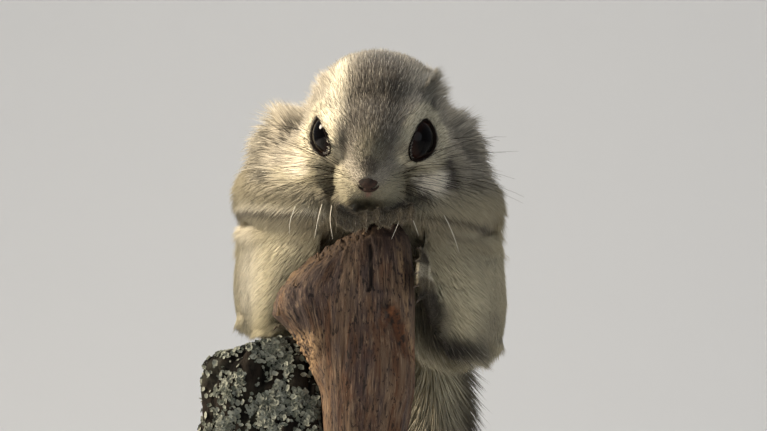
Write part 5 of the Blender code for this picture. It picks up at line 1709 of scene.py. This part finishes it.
def lichenTree():
    tree = bpy.data.node_groups.new("lichen_lobes", "GeometryNodeTree")
    face = tree.interface
    face.new_socket(name="Geometry", in_out="INPUT", socket_type="NodeSocketGeometry")
    sockets = {}
    for name, kind in (
        ("Density", "NodeSocketFloat"), ("Smallest", "NodeSocketFloat"), ("Largest", "NodeSocketFloat"),
        ("Seed", "NodeSocketInt"), ("Material", "NodeSocketMaterial"),
    ):
        sockets[name] = face.new_socket(name=name, in_out="INPUT", socket_type=kind).identifier
    face.new_socket(name="Geometry", in_out="OUTPUT", socket_type="NodeSocketGeometry")
    give = tree.nodes.new("NodeGroupInput").outputs
    spread = addNode(
        tree, "GeometryNodeDistributePointsOnFaces", {"distribute_method": "RANDOM"},
        {"Mesh": give["Geometry"], "Seed": give["Seed"],
         "Density": maths(tree, "MULTIPLY", give["Density"], named(tree, "lichenHere", "FLOAT"))},
    )
    tinted = addNode(
        tree, "GeometryNodeStoreNamedAttribute", {"data_type": "FLOAT", "domain": "POINT"},
        {"Geometry": spread.outputs["Points"], "Name": "lobeTint",
         "Value": chance(tree, 0.0, 1.0, give["Seed"], 1).outputs[1]},
    )
    lobes = []
    for k in range(4):
        # A flake: a thin round leaf on a pointed foot, its edge lobed and curled up
        cup = addNode(
            tree, "GeometryNodeMeshCone", {"fill_type": "TRIANGLE_FAN"},
            {"Vertices": 6, "Side Segments": 1, "Fill Segments": 1,
             "Radius Top": 1.0, "Radius Bottom": 0.0, "Depth": 0.2},
        )
        at = addNode(tree, "GeometryNodeInputPosition")
        part = addNode(tree, "ShaderNodeSeparateXYZ", None, {0: at})
        wave = addNode(
            tree, "ShaderNodeTexNoise", {"noise_dimensions": "4D"},
            {"Vector": at, "W": k * 3.7, "Scale": 2.3, "Detail": 2.0}
        )
        reach = maths(tree, "ADD", 0.2, maths(tree, "MULTIPLY", wave.outputs[0], 1.6))
        out = maths(tree, "ADD", maths(tree, "MULTIPLY", part.outputs[0], part.outputs[0]),
                    maths(tree, "MULTIPLY", part.outputs[1], part.outputs[1]))
        lift = maths(tree, "MULTIPLY", out, maths(tree, "MULTIPLY", wave.outputs[0], 0.6))
        moved = addNode(
            tree, "ShaderNodeCombineXYZ", None,
            {0: maths(tree, "MULTIPLY", part.outputs[0], reach),
             1: maths(tree, "MULTIPLY", part.outputs[1], reach),
             2: maths(tree, "ADD", part.outputs[2], lift)},
        )
        shaped = addNode(
            tree, "GeometryNodeSetPosition", None, {"Geometry": cup.outputs["Mesh"], "Position": moved}
        )
        lobes.append(addNode(tree, "GeometryNodeGeometryToInstance", None, {0: shaped}))
    choice = tree.nodes.new("GeometryNodeJoinGeometry")
    for lobe in lobes:
        tree.links.new(lobe.outputs[0], choice.inputs[0])
    pick = addNode(
        tree, "FunctionNodeRandomValue", {"data_type": "INT"},
        {"Min": 0, "Max": 3, "Seed": maths(tree, "ADD", give["Seed"], 2)}
    )
    lean = lichenPlan["tilt"]
    tilt = addNode(tree, "FunctionNodeRandomValue", {"data_type": "FLOAT_VECTOR"},
                   {"Min": (-lean,) * 3, "Max": (lean,) * 3, "Seed": maths(tree, "ADD", give["Seed"], 5)})
    turn = addNode(
        tree, "FunctionNodeRandomValue", {"data_type": "FLOAT_VECTOR"},
        {"Min": (-1, -1, -1), "Max": (1, 1, 1), "Seed": maths(tree, "ADD", give["Seed"], 3)},
    )
    spin = addNode(
        tree, "FunctionNodeAxesToRotation", {"primary_axis": "Z", "secondary_axis": "X"},
        {0: vectors(tree, "ADD", openEnd(spread, "Normal"), tilt.outputs[0]),
         1: turn.outputs[0]},
    )
    size = chance(tree, give["Smallest"], give["Largest"], give["Seed"], 4).outputs[1]
    placedLobes = addNode(
        tree, "GeometryNodeInstanceOnPoints", None,
        {"Points": tinted, "Instance": choice, "Pick Instance": True,
         "Instance Index": openEnd(pick, "Value"), "Rotation": spin, "Scale": size},
    )
    solid = addNode(tree, "GeometryNodeRealizeInstances", None, {0: placedLobes})
    solid = addNode(
        tree, "GeometryNodeSetMaterial", None, {"Geometry": solid, "Material": give["Material"]}
    )
    tree.links.new(solid.outputs[0], tree.nodes.new("NodeGroupOutput").inputs[0])
    return tree, sockets


def makeLichen(limb):
    tree, sockets = lichenTree()
    piece = newObject("limbLichen", limb.data.copy())
    piece.data.materials.clear()
    grow = piece.modifiers.new("grow", "NODES")
    grow.node_group = tree
    values = {"Density": lichenPlan["per"] * 1e6, "Smallest": lichenPlan["smallest"] * 0.001,
              "Largest": lichenPlan["largest"] * 0.001, "Seed": 5, "Material": lichenMaterial()}
    for key, value in values.items():
        grow[sockets[key]] = value
    settled(piece)
    rideRoot(piece, "perch_limb_surface")
    report(f"lichen of {len(piece.data.polygons)} faces")


# Stand: an oiled walnut base and satin steel rods, on the CAD's own shapes.
standPlan = {"walnut": "#4a2f1e", "grain": "#2b1a10", "steel": "#b8babc"}


def dressStand():
    made, tree, shader = newMaterial("oiled_walnut")
    place = addNode(tree, "ShaderNodeTexCoord").outputs["Object"]
    long = addNode(tree, "ShaderNodeMapping", None, {0: place, 3: (0.08, 1.0, 1.0)})
    figure = softNoise(tree, 110.0, 4.0, long, 0.6)
    pores = softNoise(tree, 1400.0, 2.0, long)
    colour = blended(
        tree, ramp(tree, figure, 0.38, 0.62), toned(standPlan["grain"]), toned(standPlan["walnut"])
    )
    colour = blended(
        tree, maths(tree, "MULTIPLY", ramp(tree, pores, 0.62, 0.7), 0.6), colour, toned("#1a0f09")
    )
    finish(tree, shader, colour, 0.36, 0.5, pores, (0.25, 0.0002))
    steel, tree, shader = newMaterial("satin_steel")
    place = addNode(tree, "ShaderNodeTexCoord").outputs["Object"]
    brush = softNoise(
        tree, 2200.0, 2.0, addNode(tree, "ShaderNodeMapping", None, {0: place, 3: (1.0, 1.0, 0.02)})
    )
    tree.links.new(ramp(tree, brush, 0.2, 0.8, 0.24, 0.40), shader.inputs["Roughness"])
    shader.inputs["Base Color"].default_value = toned(standPlan["steel"])
    shader.inputs["Metallic"].default_value = 1.0
    for name, material in (("stand_base", made), ("stand_rod_1", steel), ("stand_rod_2", steel)):
        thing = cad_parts[name]
        for socket in thing.material_slots:
            socket.material = material


makeStub()
makeSplinters()
limb = makeLimb()
makeLichen(limb)
dressStand()
report("perch and stand")


# Studio: a pale floor that curves up behind, a warm soft key from the upper left and a cool fill
def makeStage():
    floor = bpy.data.materials.new("pale_paper_sweep")
    floor.use_nodes = True
    shader = floor.node_tree.nodes["Principled BSDF"]
    shader.inputs["Base Color"].default_value = toned("#dddfe2")
    shader.inputs["Roughness"].default_value = 0.9
    rows = [(-1.6, 0.0), (0.9, 0.0)]
    rows += [(0.9 + 0.5 * math.sin(a), 0.5 - 0.5 * math.cos(a)) for a in np.linspace(0.2, math.pi / 2, 9)]
    rows.append((1.4, 2.6))
    points = [(x, y, z) for y, z in rows for x in (-2.4, 2.4)]
    faces = [(2 * i, 2 * i + 1, 2 * i + 3, 2 * i + 2) for i in range(len(rows) - 1)]
    sweep = newObject("studio_floor", newMesh("studio_floor", points, faces))
    sweep.data.materials.append(floor)
    smoothShade(sweep)


def makeLight(name, where, aim, size, power, colour):
    data = bpy.data.lights.new(name, "AREA")
    data.shape, data.size, data.energy, data.color = "DISK", size, power, linear(colour)
    lamp = newObject(name, data)
    lamp.location = where
    lamp.rotation_euler = (Vector(aim) - Vector(where)).to_track_quat("-Z", "Y").to_euler()
    return lamp


def lightStage():
    aim = tuple(placed((0, 0, 5)))
    makeLight("key", (-0.75, 0.04, 0.56), aim, 0.26, 20.0, "#fff0d8")
    makeLight("fill", (0.7, -0.9, 0.35), aim, 0.9, 4.6, "#e6ebf2")
    makeLight("top", (0.05, 0.35, 0.9), aim, 0.5, 4.0, "#f4f2ee")
    world = bpy.data.worlds.new("studio_air")
    bpy.context.scene.world = world
    world.use_nodes = True
    world.node_tree.nodes["Background"].inputs[0].default_value = toned("#dfe6ee")
    world.node_tree.nodes["Background"].inputs[1].default_value = 0.34
    bpy.context.scene.view_settings.view_transform = "Standard"


makeStage()
lightStage()

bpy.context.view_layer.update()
report("ready")
